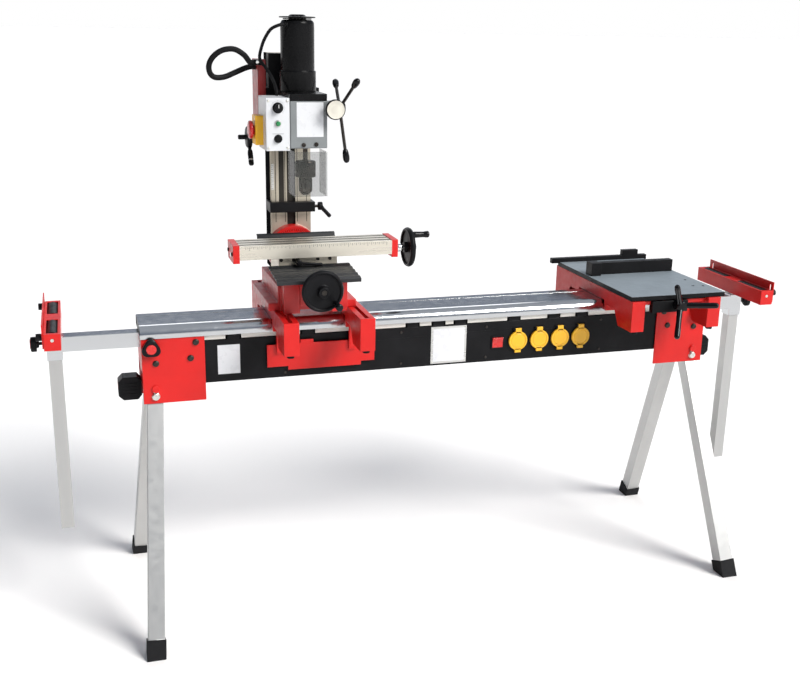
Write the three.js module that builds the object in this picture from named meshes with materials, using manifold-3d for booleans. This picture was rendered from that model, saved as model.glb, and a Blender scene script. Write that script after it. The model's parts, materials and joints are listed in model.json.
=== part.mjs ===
// Bench milling machine on a folding rail stand, with a sliding worktable and two roller supports.
// Millimetres, +X along the rail, +Y to the rear, +Z up.
import * as THREE from 'three';
import { mergeVertices } from 'three/addons/utils/BufferGeometryUtils.js';
import Module from 'manifold-3d';

const wasm = await Module();
wasm.setup();

// Fits and facets
const gap = 0.3;            // between pieces that touch or slide
const overrun = 2;          // how far a cut runs past a face
const weld = 0.001;         // vertices nearer than this are one
const fineSides = 24;
const roundSides = 16;
const pinSides = 12;          // pins that turn in a hole, and their holes
const smallSides = 8;

// Rail and power channel
const railLength = 1578;
const railDepth = 156;
const railTop = 776.6;
const railHeight = 30.9;
const railWall = 3;
const railRound = 24;
const railCellBend = 14;     // how far the hollow's corner is cut back under the round
const railGrooveWidth = 4;
const railGrooveDeep = 2.4;
const railGroovePlace = 28;  // behind the rail's middle
const tunnelHalf = 22;      // recess under the rail that the extension tubes run in
const tunnelDeep = 5.6;
const channelLength = 1372;
const channelDepth = 140;
const channelHeight = 110;
const channelWall = 2;
const spacerHeight = 14.7;  // between the rail and the channel
const spacerLength = 32;
const spacerDeep = 14;
const spacerPlaces = [-560, -370, -88, -16, 46, 200, 318, 402];

// End brackets
const bracketOuter = 787;   // from the middle of the stand to the outer edge
const bracketInner = 633;
const bracketDepth = 150;
const bracketPlate = 3;
const bracketBottom = 578;
const webBottom = 655;
const tongueHalf = 12;
const tongueBottom = 586;
const boltHead = 7;
const boltHeadHeight = 5;
const boltShank = 4;
const boltReach = 9;
const bracketBolts = [[21.5, 731], [35.5, 690.5], [120.5, 682]];   // from the inner edge, and height

// Legs
const footSpanX = 1600;
const footSpanY = 574;
const pivotInset = 30;      // from the bracket's outer edge
const pivotSpanX = (bracketOuter - pivotInset) * 2;
const pivotDeeper = 70;     // what the bracket is deeper than the pivots are apart
const pivotSpanY = bracketDepth - pivotDeeper;
const pivotHeight = 600;
const legSize = 40;
const legWall = 2;
const footSize = 46;
const footHeight = 40;
const footSole = 6;
const pivotShank = 5;
const pivotHead = 9;
const pivotHeadHeight = 5;
const pivotSpacer = 9;
const pivotNut = 5;

// Leg release handles
const releaseHeight = 60;
const releaseDeep = 44;
const releaseLong = 58;
const releaseAxis = 604;
const releaseRod = 5;
const releaseRodLong = 34;
const releaseRound = 12;
const releaseGrip = 10;

// Extension tubes, posts and roller supports
const tubeSize = 38;
const tubeWall = 2.2;
const tubeTop = 749;
const tubeLength = 620;
const supportLeft = -990;   // middle of the left support
const supportRight = 924;
const sleeveWidth = 37;
const sleeveDepth = 38;
const sleeveBottom = 690;
const sleeveTop = 752;
const postWidth = 32;
const postDepth = 30;
const postWall = 2;
const postBottom = 238;
const headLength = 324;     // roller head, along Y
const headWidth = 38;
const headHeight = 40;
const headAbove = 5;        // from the sleeve to the roller head
const headBottom = sleeveTop + headAbove;
const headWall = 2;
const rollerRadius = 16.2;
const rollerAxle = 4;
const rollerAxleHeight = 25;
const rollerFrom = 32;
const rollerInset = 16;
const rollerTo = headLength / 2 - rollerInset;
const windowHalf = 13;
const windowSpare = 4;
const stopThick = 3;
const stopInset = 2;
const stopLength = headLength - stopInset * 2;
const stopLow = 5;
const stopHigh = 63;
const stopSlotWidth = 6;
const stopSlotLow = 25;
const stopSlotHigh = 54;
const stopScrewInset = 17;
const stopScrewPlace = headLength / 2 - stopScrewInset;
const stopScrewHeight = 30;
const stopScrew = 2.4;
const stopKnob = 9;
const stopKnobLong = 13;

// Star knobs that clamp the tubes and posts
const starRadius = 20;
const extensionStar = 24;     // the two knobs on the brackets are larger
const starNeck = 9;
const starThick = 14;
const starLobes = 3;
const starLobe = 8;
const starShank = 4;
const starNeckLong = 6;
const extensionKnobInset = 23;
const extensionKnobPlace = bracketOuter - extensionKnobInset;
const extensionKnobHeight = 724;
const postKnobStand = 16;
const postKnobDrop = 21;    // from the sleeve's top
const postKnobHeight = sleeveTop - postKnobDrop;

// Sockets and switch in the power channel
const socketPlaces = [211, 274, 336, 398];
const socketHeight = 676;
const socketHole = 21;
const socketBore = 20;
const socketDeep = 24;
const socketFlange = 25;
const lidRadius = 26.5;
const lidThick = 6;
const lidTabWidth = 17;
const lidTop = 711;
const lidBottom = 643;
const lidStandOff = 2.3;
const lidPin = 2;
const lidEar = 5;
const rockerPlace = 153;
const rockerHeight = 674;
const rockerWide = 30;
const rockerTall = 28;
const rockerOut = 5;
const rockerIn = 8;
const rockerSpare = 0.5;
const rockerTip = 8;          // degrees either side of square

// Machine mounts: two arms across the rail
const armWidth = 38;
const armLength = 470;
const armTop = 808;
const armBottom = 726;
const armWall = 3;
const armToe = 72;          // length of the deep toe at each end
const armKnee = 138;        // from there the underside meets the rail
const armUnderside = 765;
const armSlotWidth = 9;
const armSlotFrom = 102;
const armSlotTo = 227;
const hookThick = 12;
const hookBottom = 749;
const padRadius = 9;
const padHeight = 8;
const padInset = 16;
const millArmPlaces = [-444.5, -256];
const tableArmPlaces = [481, 708];
const strapWidth = 20;
const strapBottom = 690;
const apronFrom = -478;
const apronTo = -196;
const apronBottom = 643;
const apronTop = 712;
const apronThick = 3;
const apronStepHeight = 10;
const apronStepLeft = 54;
const apronStepRight = 36;
const apronTabWidth = 34;
const apronTabHeight = 9;
const apronTabPlace = -392;
const crossBarHeight = 10;
const crossBarDeep = 14;
const crossBarInset = 22;

// Mill base, with its own origin on top of the arms
const millX = -366;
const baseFlangeHalf = 112;
const baseFlangeHeight = 20;
const baseHalf = 88;
const baseFront = -112;
const baseRear = 120;
const baseHeight = 63;
const pillarOuter = 80;
const pillarInner = 40;
const pillarFront = -150;
const pillarHeight = 86;
const bearingThick = 12;
const bearingHeight = 84;
const wayTopHalf = 48;
const wayFootHalf = 40;
const wayTop = 92;
const wayFront = -100;
const trenchHalf = 16;
const yScrewHeight = 72;
const uprightHalf = 62;
const uprightFront = 98;
const uprightTop = 150;

// Rubber way covers
const coverHalf = 104;      // of the width
const coverRear = 103;      // height at the saddle
const coverFrontY = -193;
const coverFront = 92;
const coverLip = 9;
const coverThick = 3;
const coverRibs = 5;
const coverRib = 3;
const rearCoverTop = 156;
const rearCoverBottom = 108;

// Saddle
const saddleHalf = 75;       // of the width
const saddleFront = -60;
const saddleRear = 50;
const saddleTop = 123.7;
const saddleSkirt = 66;
const ridgeHalf = 27;
const ridgeHeight = 16;
const ridgeUndercut = 4;
const screwRadius = 6;
const nutHalf = 11;
const nutLong = 30;

// Saddle lever
const leverPlace = -28;
const leverHeight = 114;
const leverHub = 7;
const leverFront = 95;
const leverArm = 58;
const leverThick = 8;
const leverDroop = 6;

// Table
const tableLeft = -175;
const tableRight = 214;
const tableFront = -80;
const tableRear = 12;
const tableBottom = 124;
const tableTop = 159;
const slotPitch = 28;
const slotNeck = 8;
const slotNeckDeep = 6;
const slotWide = 14;
const slotDeep = 13;
const capThick = 16;
const capBottom = 116;
const capTop = 161;
const xScrewHeight = 131;
const xScrewY = -34;

// Handwheels
const wheelRadius = 52;
const wheelRim = 14;
const wheelRimDeep = 9;
const wheelWeb = 5;
const wheelHub = 14;
const wheelCollar = 11;
const xWheelStand = 34;     // from the bearing to the rim
const yWheelStand = 70;
const wheelCollarBack = 9;   // from the rim to its collar
const yScrewLong = 214;
const wheelHubFront = 26;
const crankPlace = 37.5;
const crankRadius = 9;
const crankLong = 62;
const crankNeck = 4;
const crankNeckLong = 8;
const yCrankAngle = -45;
const xCrankAngle = 135;

// Column and tilt flange
const columnHalf = 53;
const columnFront = 150;
const columnRear = 235;
const columnBottom = 46;
const columnTop = 612;
const columnWall = 15;
const wayNotch = 8;
const wayNotchDeep = 9;
const wayGrooveHalf = 11;
const wayGrooveDeep = 8;
const tiltHeight = 101;
const tiltRadius = 68;
const tiltSpigot = 15;
const tiltSides = 48;

// Depth collar
const collarBottom = 204;
const collarHeight = 26;
const collarFront = 128;
const collarArm = 7;
const collarReach = 45;
const collarStud = 4;
const collarStudLong = 16;
const collarLeverReach = 28;
const collarLeverDrop = 30;
const collarLeverThick = 11;

// Head
const slideFront = 118;
const slideHalf = 70;
const slideBottom = 387;
const slideTop = 527;
const slidePlateLeft = -61;
const slideCheek = 35;
const headHalf = 46;
const headFront = -80;
const headBase = 394;
const headCrown = 507;
const coverPlate = 16;
const coverPlateHalf = 46;
const coverPlateRear = 100;
const spindleY = -35;
const quillRadius = 25;
const quillTop = 478;
const feedHeight = 488;
const feedY = -48;
const feedHousing = 18;
const feedHousingLong = 28;
const feedX = 60;
const feedBush = 11;
const feedBushLong = 30;
const lockY = 55;
const lockHeight = 410;
const lockBoss = 12;
const lockBossLong = 20;

// Spindle and chuck
const spindleRadius = 9;
const arborRadius = 6;
const chuckTop = 360;
const chuckMiddle = 320;
const chuckBottom = 276;
const chuckWide = 25.5;
const chuckNarrow = 17;
const chuckNose = 9;
const chuckBore = 5;
const chuckBoreDeep = 24;

// Chuck guard
const guardLeft = -37;
const guardRight = 45;
const guardFront = -82;
const guardRear = -6;
const guardBottom = 277;
const guardTop = 386;
const guardThick = 3;
const guardPin = 3;

// Motor
const motorY = 50;
const motorSleeve = 45.5;
const motorSleeveHeight = 49;
const motorRadius = 42;
const motorHeight = 170;
const motorNeck = 22;
const motorCap = 45;
const motorCapThick = 2.5;
const motorCapStand = 5;
const motorCrown = 6;
const motorShoulder = 4;
const glandRadius = 8;
const glandLong = 14;
const glandDrop = 4;
const glandAngle = 216;       // degrees round the motor from +X

// Control box and switches
const boxLeft = -104;
const boxFront = -78;
const boxRear = 25;
const boxBottom = 389;
const boxTop = 514;
const lampRadius = 6;
const lampHeight = 454;
const fuseRadius = 8;
const fuseHeight = 418;
const panelX = -75;
const panelOut = 5;
const speedHeight = 491;
const speedRadius = 9;
const speedSkirt = 13;
const speedLong = 14;
const switchThick = 20;
const switchFront = -45;
const switchRear = 5;
const switchBottom = 400;
const switchTop = 470;
const buttonRadius = 22;
const buttonStem = 10;
const buttonStand = 4;
const buttonLong = 15;

// Head lock lever
const lockStand = 15;
const lockHub = 27;
const lockHubLong = 13;
const lockShaft = 8;
const lockKnob = 6;
const lockKnobLong = 20;
const lockArm = 76;
const lockArmRadius = 4.5;
const lockGripRadius = 6.5;
const lockArmAngle = 240;

// Capstan and fine feed
const capstanHub = 15;
const capstanHubLong = 22;
const capstanRootX = 84;
const capstanRadius = 134;
const capstanTipX = 101;
const capstanRod = 4;
const capstanKnob = 8.5;
const capstanKnobLong = 34;
const capstanAngles = [27, 147, 267];
const feedKnobRadius = 24;
const feedKnobThick = 14;
const feedKnobStand = 20;
const feedShaft = 6;

// Electrical enclosure beside the column
const enclosureLeft = -91;
const enclosureFront = 106;
const enclosureRear = 190;
const enclosureTop = 597;
const clipHigh = 14;
const clipDeep = 10;

// Cables on the head: centre lines in the mill's own frame, chosen by hand
const loopRadius = 7;
const loopSteps = 34;
const loopPath = [[-101.6, 99, 590], [-111, 99, 590], [-126, 98, 608], [-150, 100, 621], [-178, 104, 618],
  [-200, 108, 603], [-211, 112, 583], [-209, 116, 563], [-196, 120, 552], [-172, 124, 553], [-146, 128,
    563],
  [-122, 131, 573], [-105, 132, 578], [-91.4, 132, 578]];
const motorCableRadius = 4;
const motorCableSteps = 34;
const cableSides = 8;
const motorCablePath = [[-39.9, 21, 681.3], [-49, 14.4, 681.3], [-69.9, 24, 670.8], [-82.4, 46, 647],
  [-87.4, 70, 622.8], [-88.2, 88, 603.1], [-83.3, 90, 589.8], [-74.7, 76, 577], [-65.5, 52, 556.4],
  [-62.6, 22, 538.7], [-62.1, 4, 525.4], [-62.1, 4, 514.4]];

// Worktable
const plateLeft = 462;
const plateRight = 742;
const plateHalf = 228;
const plateThick = 12.2;
const plateHole = 4;
const plateHoles = [[711.5, -76], [694, -146], [721.5, -152]];
const rearBarLeft = 435;
const rearBarRight = 750;
const rearBarFront = 212;
const rearBarHeight = 13;
const rearBlockLeft = 668;
const rearBlockRight = 720;
const rearBlockHeight = 16;
const fenceLeft = 469;
const fenceRight = 735;
const fenceFront = 35;
const fenceDepth = 22;
const fenceHeight = 34;
const fenceBlockLong = 30;
const fenceBlockFront = 20;
const fenceBlockHeight = 37;
const clampLeft = 524;
const clampRight = 630;
const clampFront = -230;
const clampBottom = 774;
const handlePlace = 598;
const handleHeight = 795;
const handleHub = 15;
const handleHubLong = 30;
const handleArm = 98;
const handleArmRadius = 8;
const handleLean = 32.5;
const handleAngles = [125.5, 5.5, -114.5];
const handleShaft = 6;

function bare(geometry) {
  const copy = geometry.clone();
  copy.deleteAttribute('normal');
  copy.deleteAttribute('uv');
  return mergeVertices(copy, weld);
}

// A three.js geometry as a solid for joining and cutting
function solid(geometry) {
  const merged = bare(geometry);
  const index = merged.index.array;
  const kept = [];
  for (let i = 0; i < index.length; i += 3) {
    const [a, b, c] = [index[i], index[i + 1], index[i + 2]];
    if (a !== b && b !== c && c !== a) kept.push(a, b, c);
  }
  return new wasm.Manifold(new wasm.Mesh({
    numProp: 3,
    vertProperties: new Float32Array(merged.attributes.position.array),
    triVerts: new Uint32Array(kept),
  }));
}

function geometryOf(shape) {
  const mesh = shape.getMesh();
  const geometry = new THREE.BufferGeometry();
  geometry.setAttribute('position', new THREE.BufferAttribute(mesh.vertProperties.slice(), 3));
  geometry.setIndex(new THREE.BufferAttribute(mesh.triVerts.slice(), 1));
  return geometry;
}

function join(...shapes) {
  return shapes.reduce((whole, shape) => whole.add(shape));
}

function cut(shape, ...tools) {
  return tools.reduce((left, tool) => left.subtract(tool), shape);
}

// A block from its two opposite corners
function block(x0, x1, y0, y1, z0, z1) {
  const geometry = new THREE.BoxGeometry(x1 - x0, y1 - y0, z1 - z0);
  geometry.translate((x0 + x1) / 2, (y0 + y1) / 2, (z0 + z1) / 2);
  return solid(geometry);
}

function outline(points) {
  return new THREE.Shape(points.map(([a, b]) => new THREE.Vector2(a, b)));
}

// An outline in Y and Z, drawn out along X
function alongX(shape, x0, x1, curveSegments = smallSides) {
  const geometry = new THREE.ExtrudeGeometry(shape, { depth: x1 - x0, bevelEnabled: false, curveSegments });
  geometry.applyMatrix4(new THREE.Matrix4().makeBasis(
    new THREE.Vector3(0, 1, 0), new THREE.Vector3(0, 0, 1), new THREE.Vector3(1, 0, 0)));
  geometry.translate(x0, 0, 0);
  return solid(geometry);
}

// An outline in X and Z, drawn out along Y
function alongY(shape, y0, y1, curveSegments = smallSides) {
  const geometry = new THREE.ExtrudeGeometry(shape, { depth: y1 - y0, bevelEnabled: false, curveSegments });
  geometry.rotateX(Math.PI / 2);
  geometry.translate(0, y1, 0);
  return solid(geometry);
}

// An outline in X and Y, drawn out along Z
function alongZ(shape, z0, z1, curveSegments = smallSides) {
  const geometry = new THREE.ExtrudeGeometry(shape, { depth: z1 - z0, bevelEnabled: false, curveSegments });
  geometry.translate(0, 0, z0);
  return solid(geometry);
}

// Turns +Z to the given direction
function aim(geometry, direction) {
  const turn = new THREE.Quaternion().setFromUnitVectors(
    new THREE.Vector3(0, 0, 1), new THREE.Vector3(...direction).normalize());
  geometry.applyQuaternion(turn);
  return geometry;
}

// A turned shape: its profile is radius and height pairs, and its axis leaves the given point
function turned(profile, at, direction, sides = roundSides) {
  const geometry = new THREE.LatheGeometry(profile.map(([r, h]) => new THREE.Vector2(r, h)), sides);
  geometry.rotateX(Math.PI / 2);
  aim(geometry, direction);
  geometry.translate(...at);
  return solid(geometry);
}

// A round bar from one point to another
function bar(radius, from, to, sides = roundSides) {
  const start = new THREE.Vector3(...from);
  const run = new THREE.Vector3(...to).sub(start);
  const length = run.length();
  return turned([[0, 0], [radius, 0], [radius, length], [0, length]], from, run.toArray(), sides);
}

// A round-section piece that runs along a smooth curve
function hose(points, radius, steps, sides) {
  const curve = new THREE.CatmullRomCurve3(points.map((p) => new THREE.Vector3(...p)));
  const section = new THREE.Shape();
  for (let i = 0; i < sides; i += 1) {
    const angle = (2 * Math.PI * i) / sides;
    const place = [radius * Math.cos(angle), radius * Math.sin(angle)];
    if (i === 0) section.moveTo(...place);
    else section.lineTo(...place);
  }
  section.closePath();
  return solid(new THREE.ExtrudeGeometry(section, { steps, bevelEnabled: false, extrudePath: curve }));
}

const paint = {
  red: { color: 0xc81410, roughness: 0.45, metalness: 0 },
  castRed: { color: 0xb3120f, roughness: 0.55, metalness: 0 },
  black: { color: 0x17181a, roughness: 0.5, metalness: 0 },
  rubber: { color: 0x1b1c1e, roughness: 0.85, metalness: 0 },
  aluminium: { color: 0xd9d7d0, roughness: 0.35, metalness: 0.9 },
  steel: { color: 0xb9b7b0, roughness: 0.35, metalness: 0.9 },
  iron: { color: 0xa9a296, roughness: 0.5, metalness: 0.8 },
  grey: { color: 0x83898b, roughness: 0.5, metalness: 0.1 },
  cream: { color: 0xddd3bf, roughness: 0.45, metalness: 0.2 },
  white: { color: 0xdcdde0, roughness: 0.4, metalness: 0 },
  yellow: { color: 0xf0b414, roughness: 0.45, metalness: 0 },
  plate: { color: 0x8d979c, roughness: 0.5, metalness: 0.3 },
  clear: { color: 0xcfd4d2, roughness: 0.15, metalness: 0, transparent: true, opacity: 0.35 },
};

function piece(name, shape, look, parent) {
  const mesh = new THREE.Mesh(geometryOf(shape), new THREE.MeshStandardMaterial(paint[look]));
  mesh.name = name;
  parent.add(mesh);
  return mesh;
}

function place(parent, x, y, z) {
  const holder = new THREE.Group();
  holder.position.set(x, y, z);
  parent.add(holder);
  return holder;
}

// Heights and depths that several pieces share
const railBottom = railTop - railHeight;
const channelTop = railBottom - spacerHeight;
const channelBottom = channelTop - channelHeight;
const railFront = -railDepth / 2;
const channelFront = -channelDepth / 2;
const bracketTop = railBottom - gap;
const tubeBottom = tubeTop - tubeSize;
const tubeHalf = tubeSize / 2;
const plateTop = armTop + gap + plateThick;

const stand = new THREE.Group();

function beamRail() {
  const half = railDepth / 2;
  const shape = new THREE.Shape();
  shape.moveTo(-half, railBottom);
  shape.lineTo(-tunnelHalf, railBottom);
  shape.lineTo(-tunnelHalf, railBottom + tunnelDeep);
  shape.lineTo(tunnelHalf, railBottom + tunnelDeep);
  shape.lineTo(tunnelHalf, railBottom);
  shape.lineTo(half, railBottom);
  shape.lineTo(half, railTop - railRound);
  shape.absarc(half - railRound, railTop - railRound, railRound, 0, Math.PI / 2, false);
  const groove = [railGroovePlace + railGrooveWidth / 2, railGroovePlace - railGrooveWidth / 2];
  shape.lineTo(groove[0], railTop);
  shape.lineTo(groove[0], railTop - railGrooveDeep);
  shape.lineTo(groove[1], railTop - railGrooveDeep);
  shape.lineTo(groove[1], railTop);
  shape.lineTo(-half + railRound, railTop);
  shape.absarc(-half + railRound, railTop - railRound, railRound, Math.PI / 2, Math.PI, false);
  shape.closePath();
  const cellTop = railTop - railWall * 2;
  for (const side of [-1, 1]) {
    const outer = side * (half - railWall);
    const inner = side * (tunnelHalf + railWall);
    const corners = [[outer, railBottom + railWall], [inner, railBottom + railWall], [inner, cellTop],
      [outer - side * railCellBend, cellTop], [outer, railTop - railRound]];
    if (side > 0) corners.reverse();
    const cell = new THREE.Path();
    cell.moveTo(...corners[0]);
    for (const corner of corners.slice(1)) cell.lineTo(...corner);
    cell.closePath();
    shape.holes.push(cell);
  }
  piece('beam_rail', alongX(shape, -railLength / 2, railLength / 2), 'aluminium', stand);
}

function socketCup(x) {
  const profile = [[0, channelWall - socketDeep], [socketBore + channelWall, channelWall - socketDeep],
    [socketBore + channelWall, 0], [socketFlange, 0], [socketFlange, channelWall],
    [socketBore, channelWall], [socketBore, channelWall * 2 - socketDeep], [0,
      channelWall * 2 - socketDeep]];
  return turned(profile, [x, channelFront, socketHeight], [0, -1, 0]);
}

// The lid's pin, with an ear at each end
function lidHinge(x) {
  const half = lidTabWidth / 2;
  const y = channelFront - lidStandOff - lidThick / 2;
  const z = lidTop - lidThick / 2;
  const ears = [-1, 1].map((side) => {
    const [a, b] = [half + gap, half + gap + lidEar].map((v) => x + side * v);
    return block(Math.min(a, b), Math.max(a, b), y - lidThick / 2, channelFront + channelWall / 2,
      z - lidThick / 2, z + lidThick / 2);
  });
  const reach = half + lidEar;
  return join(bar(lidPin, [x - reach, y, z], [x + reach, y, z], smallSides), ...ears);
}

function boltPlaces() {
  const places = [];
  for (const side of [-1, 1]) {
    for (const face of [-1, 1]) {
      for (const [x, z] of bracketBolts) places.push([side * (bracketInner + x), face, z]);
    }
  }
  return places;
}

function powerBox() {
  const half = channelDepth / 2;
  let shell = cut(
    block(-channelLength / 2, channelLength / 2, -half, half, channelBottom, channelTop),
    block(-channelLength / 2 - overrun, channelLength / 2 + overrun, -half + channelWall,
      half - channelWall,
      channelBottom + channelWall, channelTop + overrun));
  for (const x of socketPlaces) {
    shell = cut(shell, bar(socketHole, [x, -half - overrun, socketHeight],
      [x, -half + channelWall + overrun, socketHeight]));
  }
  const rockerHoleX = rockerWide / 2 + rockerSpare;
  const rockerHoleZ = rockerTall / 2 + rockerSpare;
  shell = cut(shell, block(rockerPlace - rockerHoleX, rockerPlace + rockerHoleX, -half - overrun,
    -half + channelWall + overrun, rockerHeight - rockerHoleZ, rockerHeight + rockerHoleZ));
  for (const [x, face, z] of boltPlaces()) {
    if (Math.abs(x) < channelLength / 2) {
      shell = cut(shell, bar(boltShank + gap, [x, face * (half - channelWall - overrun), z],
        [x, face * (half + overrun), z], smallSides));
    }
  }
  const spacers = [];
  for (const x of spacerPlaces) {
    for (const face of [-1, 1]) {
      const [a, b] = [half - channelWall / 2, half - channelWall - spacerDeep].map((y) => face * y);
      spacers.push(block(x - spacerLength / 2, x + spacerLength / 2, Math.min(a, b), Math.max(a, b),
        channelTop - spacerHeight / 2, railBottom - gap));
    }
  }
  piece('power_box', join(shell, ...socketPlaces.map(socketCup), ...socketPlaces.map(lidHinge), ...spacers),
    'black', stand);
}

function legTilt() {
  return Math.atan((footSpanY - pivotSpanY) / 2 / pivotHeight);
}

function legSplay() {
  const drop = Math.hypot(pivotHeight, (footSpanY - pivotSpanY) / 2);
  return Math.atan((footSpanX - pivotSpanX) / 2 / drop);
}

function legLength() {
  const run = [(footSpanX - pivotSpanX) / 2, (footSpanY - pivotSpanY) / 2, pivotHeight];
  return Math.hypot(...run);
}

// The pivot bolt lies square to the leg, so it leans by the leg's tilt
function pivotBolt(side, face) {
  const lean = legTilt();
  const out = [0, face * Math.cos(lean), Math.sin(lean)];
  const centre = [side * pivotSpanX / 2, face * pivotSpanY / 2, pivotHeight];
  const along = (distance) => centre.map((value, i) => value + out[i] * distance);
  const legFace = legSize / 2 + gap;
  const reach = bracketDepth / 2;
  const far = reach + pivotHeadHeight + pivotHead;
  const within = (y0, y1) => block(centre[0] - reach, centre[0] + reach, Math.min(y0, y1), Math.max(y0, y1),
    bracketBottom - reach, pivotHeight + reach);
  const plate = face * (reach - bracketPlate / 2);
  const spacer = bar(pivotSpacer, along(legFace), along(reach)).intersect(within(0, plate));
  const head = bar(pivotHead, along(legFace), along(far))
    .intersect(within(plate, face * (reach + pivotHeadHeight)));
  const shank = bar(pivotShank, along(-legFace - pivotNut), along(legFace + pivotNut), pinSides);
  const nut = bar(pivotHead, along(-legFace - pivotNut), along(-legFace), smallSides / 2);
  return join(spacer, head, shank, nut);
}

function bracketBolt(x, face, z) {
  const half = bracketDepth / 2;
  const profile = [[0, -boltReach], [boltShank, -boltReach], [boltShank, -bracketPlate / 2],
    [boltHead, -bracketPlate / 2], [boltHead, boltHeadHeight], [0, boltHeadHeight]];
  return turned(profile, [x, face * half, z], [0, face, 0], smallSides);
}

function endBracket(side) {
  const half = bracketDepth / 2;
  const [near, far] = [bracketInner, bracketOuter].map((x) => side * x);
  const [x0, x1] = [Math.min(near, far), Math.max(near, far)];
  const webIn = side * (bracketOuter - bracketPlate);
  const [w0, w1] = [Math.min(webIn, far), Math.max(webIn, far)];
  let bracket = join(
    block(x0, x1, -half, -half + bracketPlate, bracketBottom, bracketTop),
    block(x0, x1, half - bracketPlate, half, bracketBottom, bracketTop),
    block(w0, w1, -half, half, webBottom, bracketTop),
    block(w0, w1, -tongueHalf, tongueHalf, tongueBottom, webBottom + overrun));
  bracket = cut(bracket,
    block(w0 - overrun, w1 + overrun, -tubeHalf - gap, tubeHalf + gap, tubeBottom - gap, railTop),
    bar(releaseRod + gap, [w0 - overrun, 0, releaseAxis], [w1 + overrun, 0, releaseAxis], smallSides));
  const bolts = boltPlaces().filter(([x]) => Math.sign(x) === side).map((spot) => bracketBolt(...spot));
  bracket = join(bracket, ...bolts, pivotBolt(side, -1), pivotBolt(side, 1));
  const knobX = side * extensionKnobPlace;
  return cut(bracket, bar(starShank + gap, [knobX, -half - overrun, extensionKnobHeight],
    [knobX, -half + bracketPlate + overrun, extensionKnobHeight], pinSides));
}

function leg(name, side, face) {
  const tilt = new THREE.Group();
  tilt.position.set(side * pivotSpanX / 2, face * pivotSpanY / 2, pivotHeight);
  tilt.rotation.x = face * legTilt();
  stand.add(tilt);
  const splay = new THREE.Group();
  splay.rotation.y = -side * legSplay();
  tilt.add(splay);
  const half = legSize / 2;
  const length = legLength();
  const inner = half - legWall;
  const profile = new THREE.Shape();
  profile.moveTo(-half, -length - footHeight);
  profile.lineTo(half, -length - footHeight);
  profile.lineTo(half, 0);
  profile.absarc(0, 0, half, 0, Math.PI, false);
  profile.closePath();
  // The floor is level, so it leans in the leg's own frame
  const lean = new THREE.Matrix4().makeRotationX(face * legTilt())
    .multiply(new THREE.Matrix4().makeRotationY(-side * legSplay())).invert();
  const below = (height) => {
    const floor = new THREE.BoxGeometry(length, length, footHeight * 4);
    floor.translate(0, 0, height - footHeight * 2 - pivotHeight);
    floor.applyMatrix4(lean);
    return solid(floor);
  };
  const tube = cut(alongY(profile, -half, half),
    block(-inner, inner, -inner, inner, -length - footHeight - overrun, half + overrun), below(footSole));
  const outer = footSize / 2;
  const boot = cut(block(-outer, outer, -outer, outer, -length - footHeight, footHeight - length),
    cut(block(-inner, inner, -inner, inner, -length - footHeight, footHeight * 2 - length),
      below(footSole)),
    below(0));
  const bolt = bar(pivotShank + gap, [0, -half - overrun, 0], [0, half + overrun, 0], pinSides);
  piece(`leg_${name}`, cut(join(tube, boot), bolt), 'aluminium', splay);
}

function releaseHandle(name, side) {
  const holder = place(stand, side * bracketOuter, 0, releaseAxis);
  const grip = outline([[gap, -releaseHeight / 2 + releaseRound], [releaseGrip, -releaseHeight / 2],
    [releaseLong - releaseRound, -releaseHeight / 2], [releaseLong, -releaseHeight / 2 + releaseRound],
    [releaseLong, releaseHeight / 2 - releaseRound], [releaseLong - releaseRound, releaseHeight / 2],
    [releaseGrip, releaseHeight / 2], [gap, releaseHeight / 2 - releaseRound]]);
  const handle = join(alongY(grip, -releaseDeep / 2, releaseDeep / 2),
    bar(releaseRod, [-releaseRodLong, 0, 0], [releaseGrip, 0, 0], smallSides));
  const mesh = piece(name, handle, 'black', holder);
  mesh.rotation.z = side > 0 ? 0 : Math.PI;
}

// A hollow tube along X or Z, from its middle lines
function tubeX(width, height, wall, x0, x1) {
  return cut(block(x0, x1, -width / 2, width / 2, -height / 2, height / 2),
    block(x0 - overrun, x1 + overrun, -width / 2 + wall, width / 2 - wall, -height / 2 + wall,
      height / 2 - wall));
}

function tubeZ(width, depth, wall, z0, z1) {
  return cut(block(-width / 2, width / 2, -depth / 2, depth / 2, z0, z1),
    block(-width / 2 + wall, width / 2 - wall, -depth / 2 + wall, depth / 2 - wall, z0 - overrun,
      z1 + overrun));
}

// A three-lobed knob on a screw, along +Z from the face that it clamps
function starKnob(shankLong, radius) {
  const base = shankLong + starNeckLong;
  const lobes = [];
  for (let i = 0; i < starLobes; i += 1) {
    const angle = (2 * Math.PI * i) / starLobes + Math.PI / 2;
    const reach = radius - starLobe;
    lobes.push(bar(starLobe, [reach * Math.cos(angle), reach * Math.sin(angle), base],
      [reach * Math.cos(angle), reach * Math.sin(angle), base + starThick], smallSides));
  }
  const core = turned([[0, gap], [starShank, gap], [starShank, shankLong], [starNeck, shankLong],
    [starNeck + starNeck / 3, base], [starNeck + starNeck / 3, base + starThick + overrun],
    [0, base + starThick + overrun]], [0, 0, 0], [0, 0, 1], smallSides);
  return join(core, ...lobes);
}

function pointMesh(mesh, direction) {
  mesh.quaternion.setFromUnitVectors(new THREE.Vector3(0, 0, 1), new THREE.Vector3(...direction));
}

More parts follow.
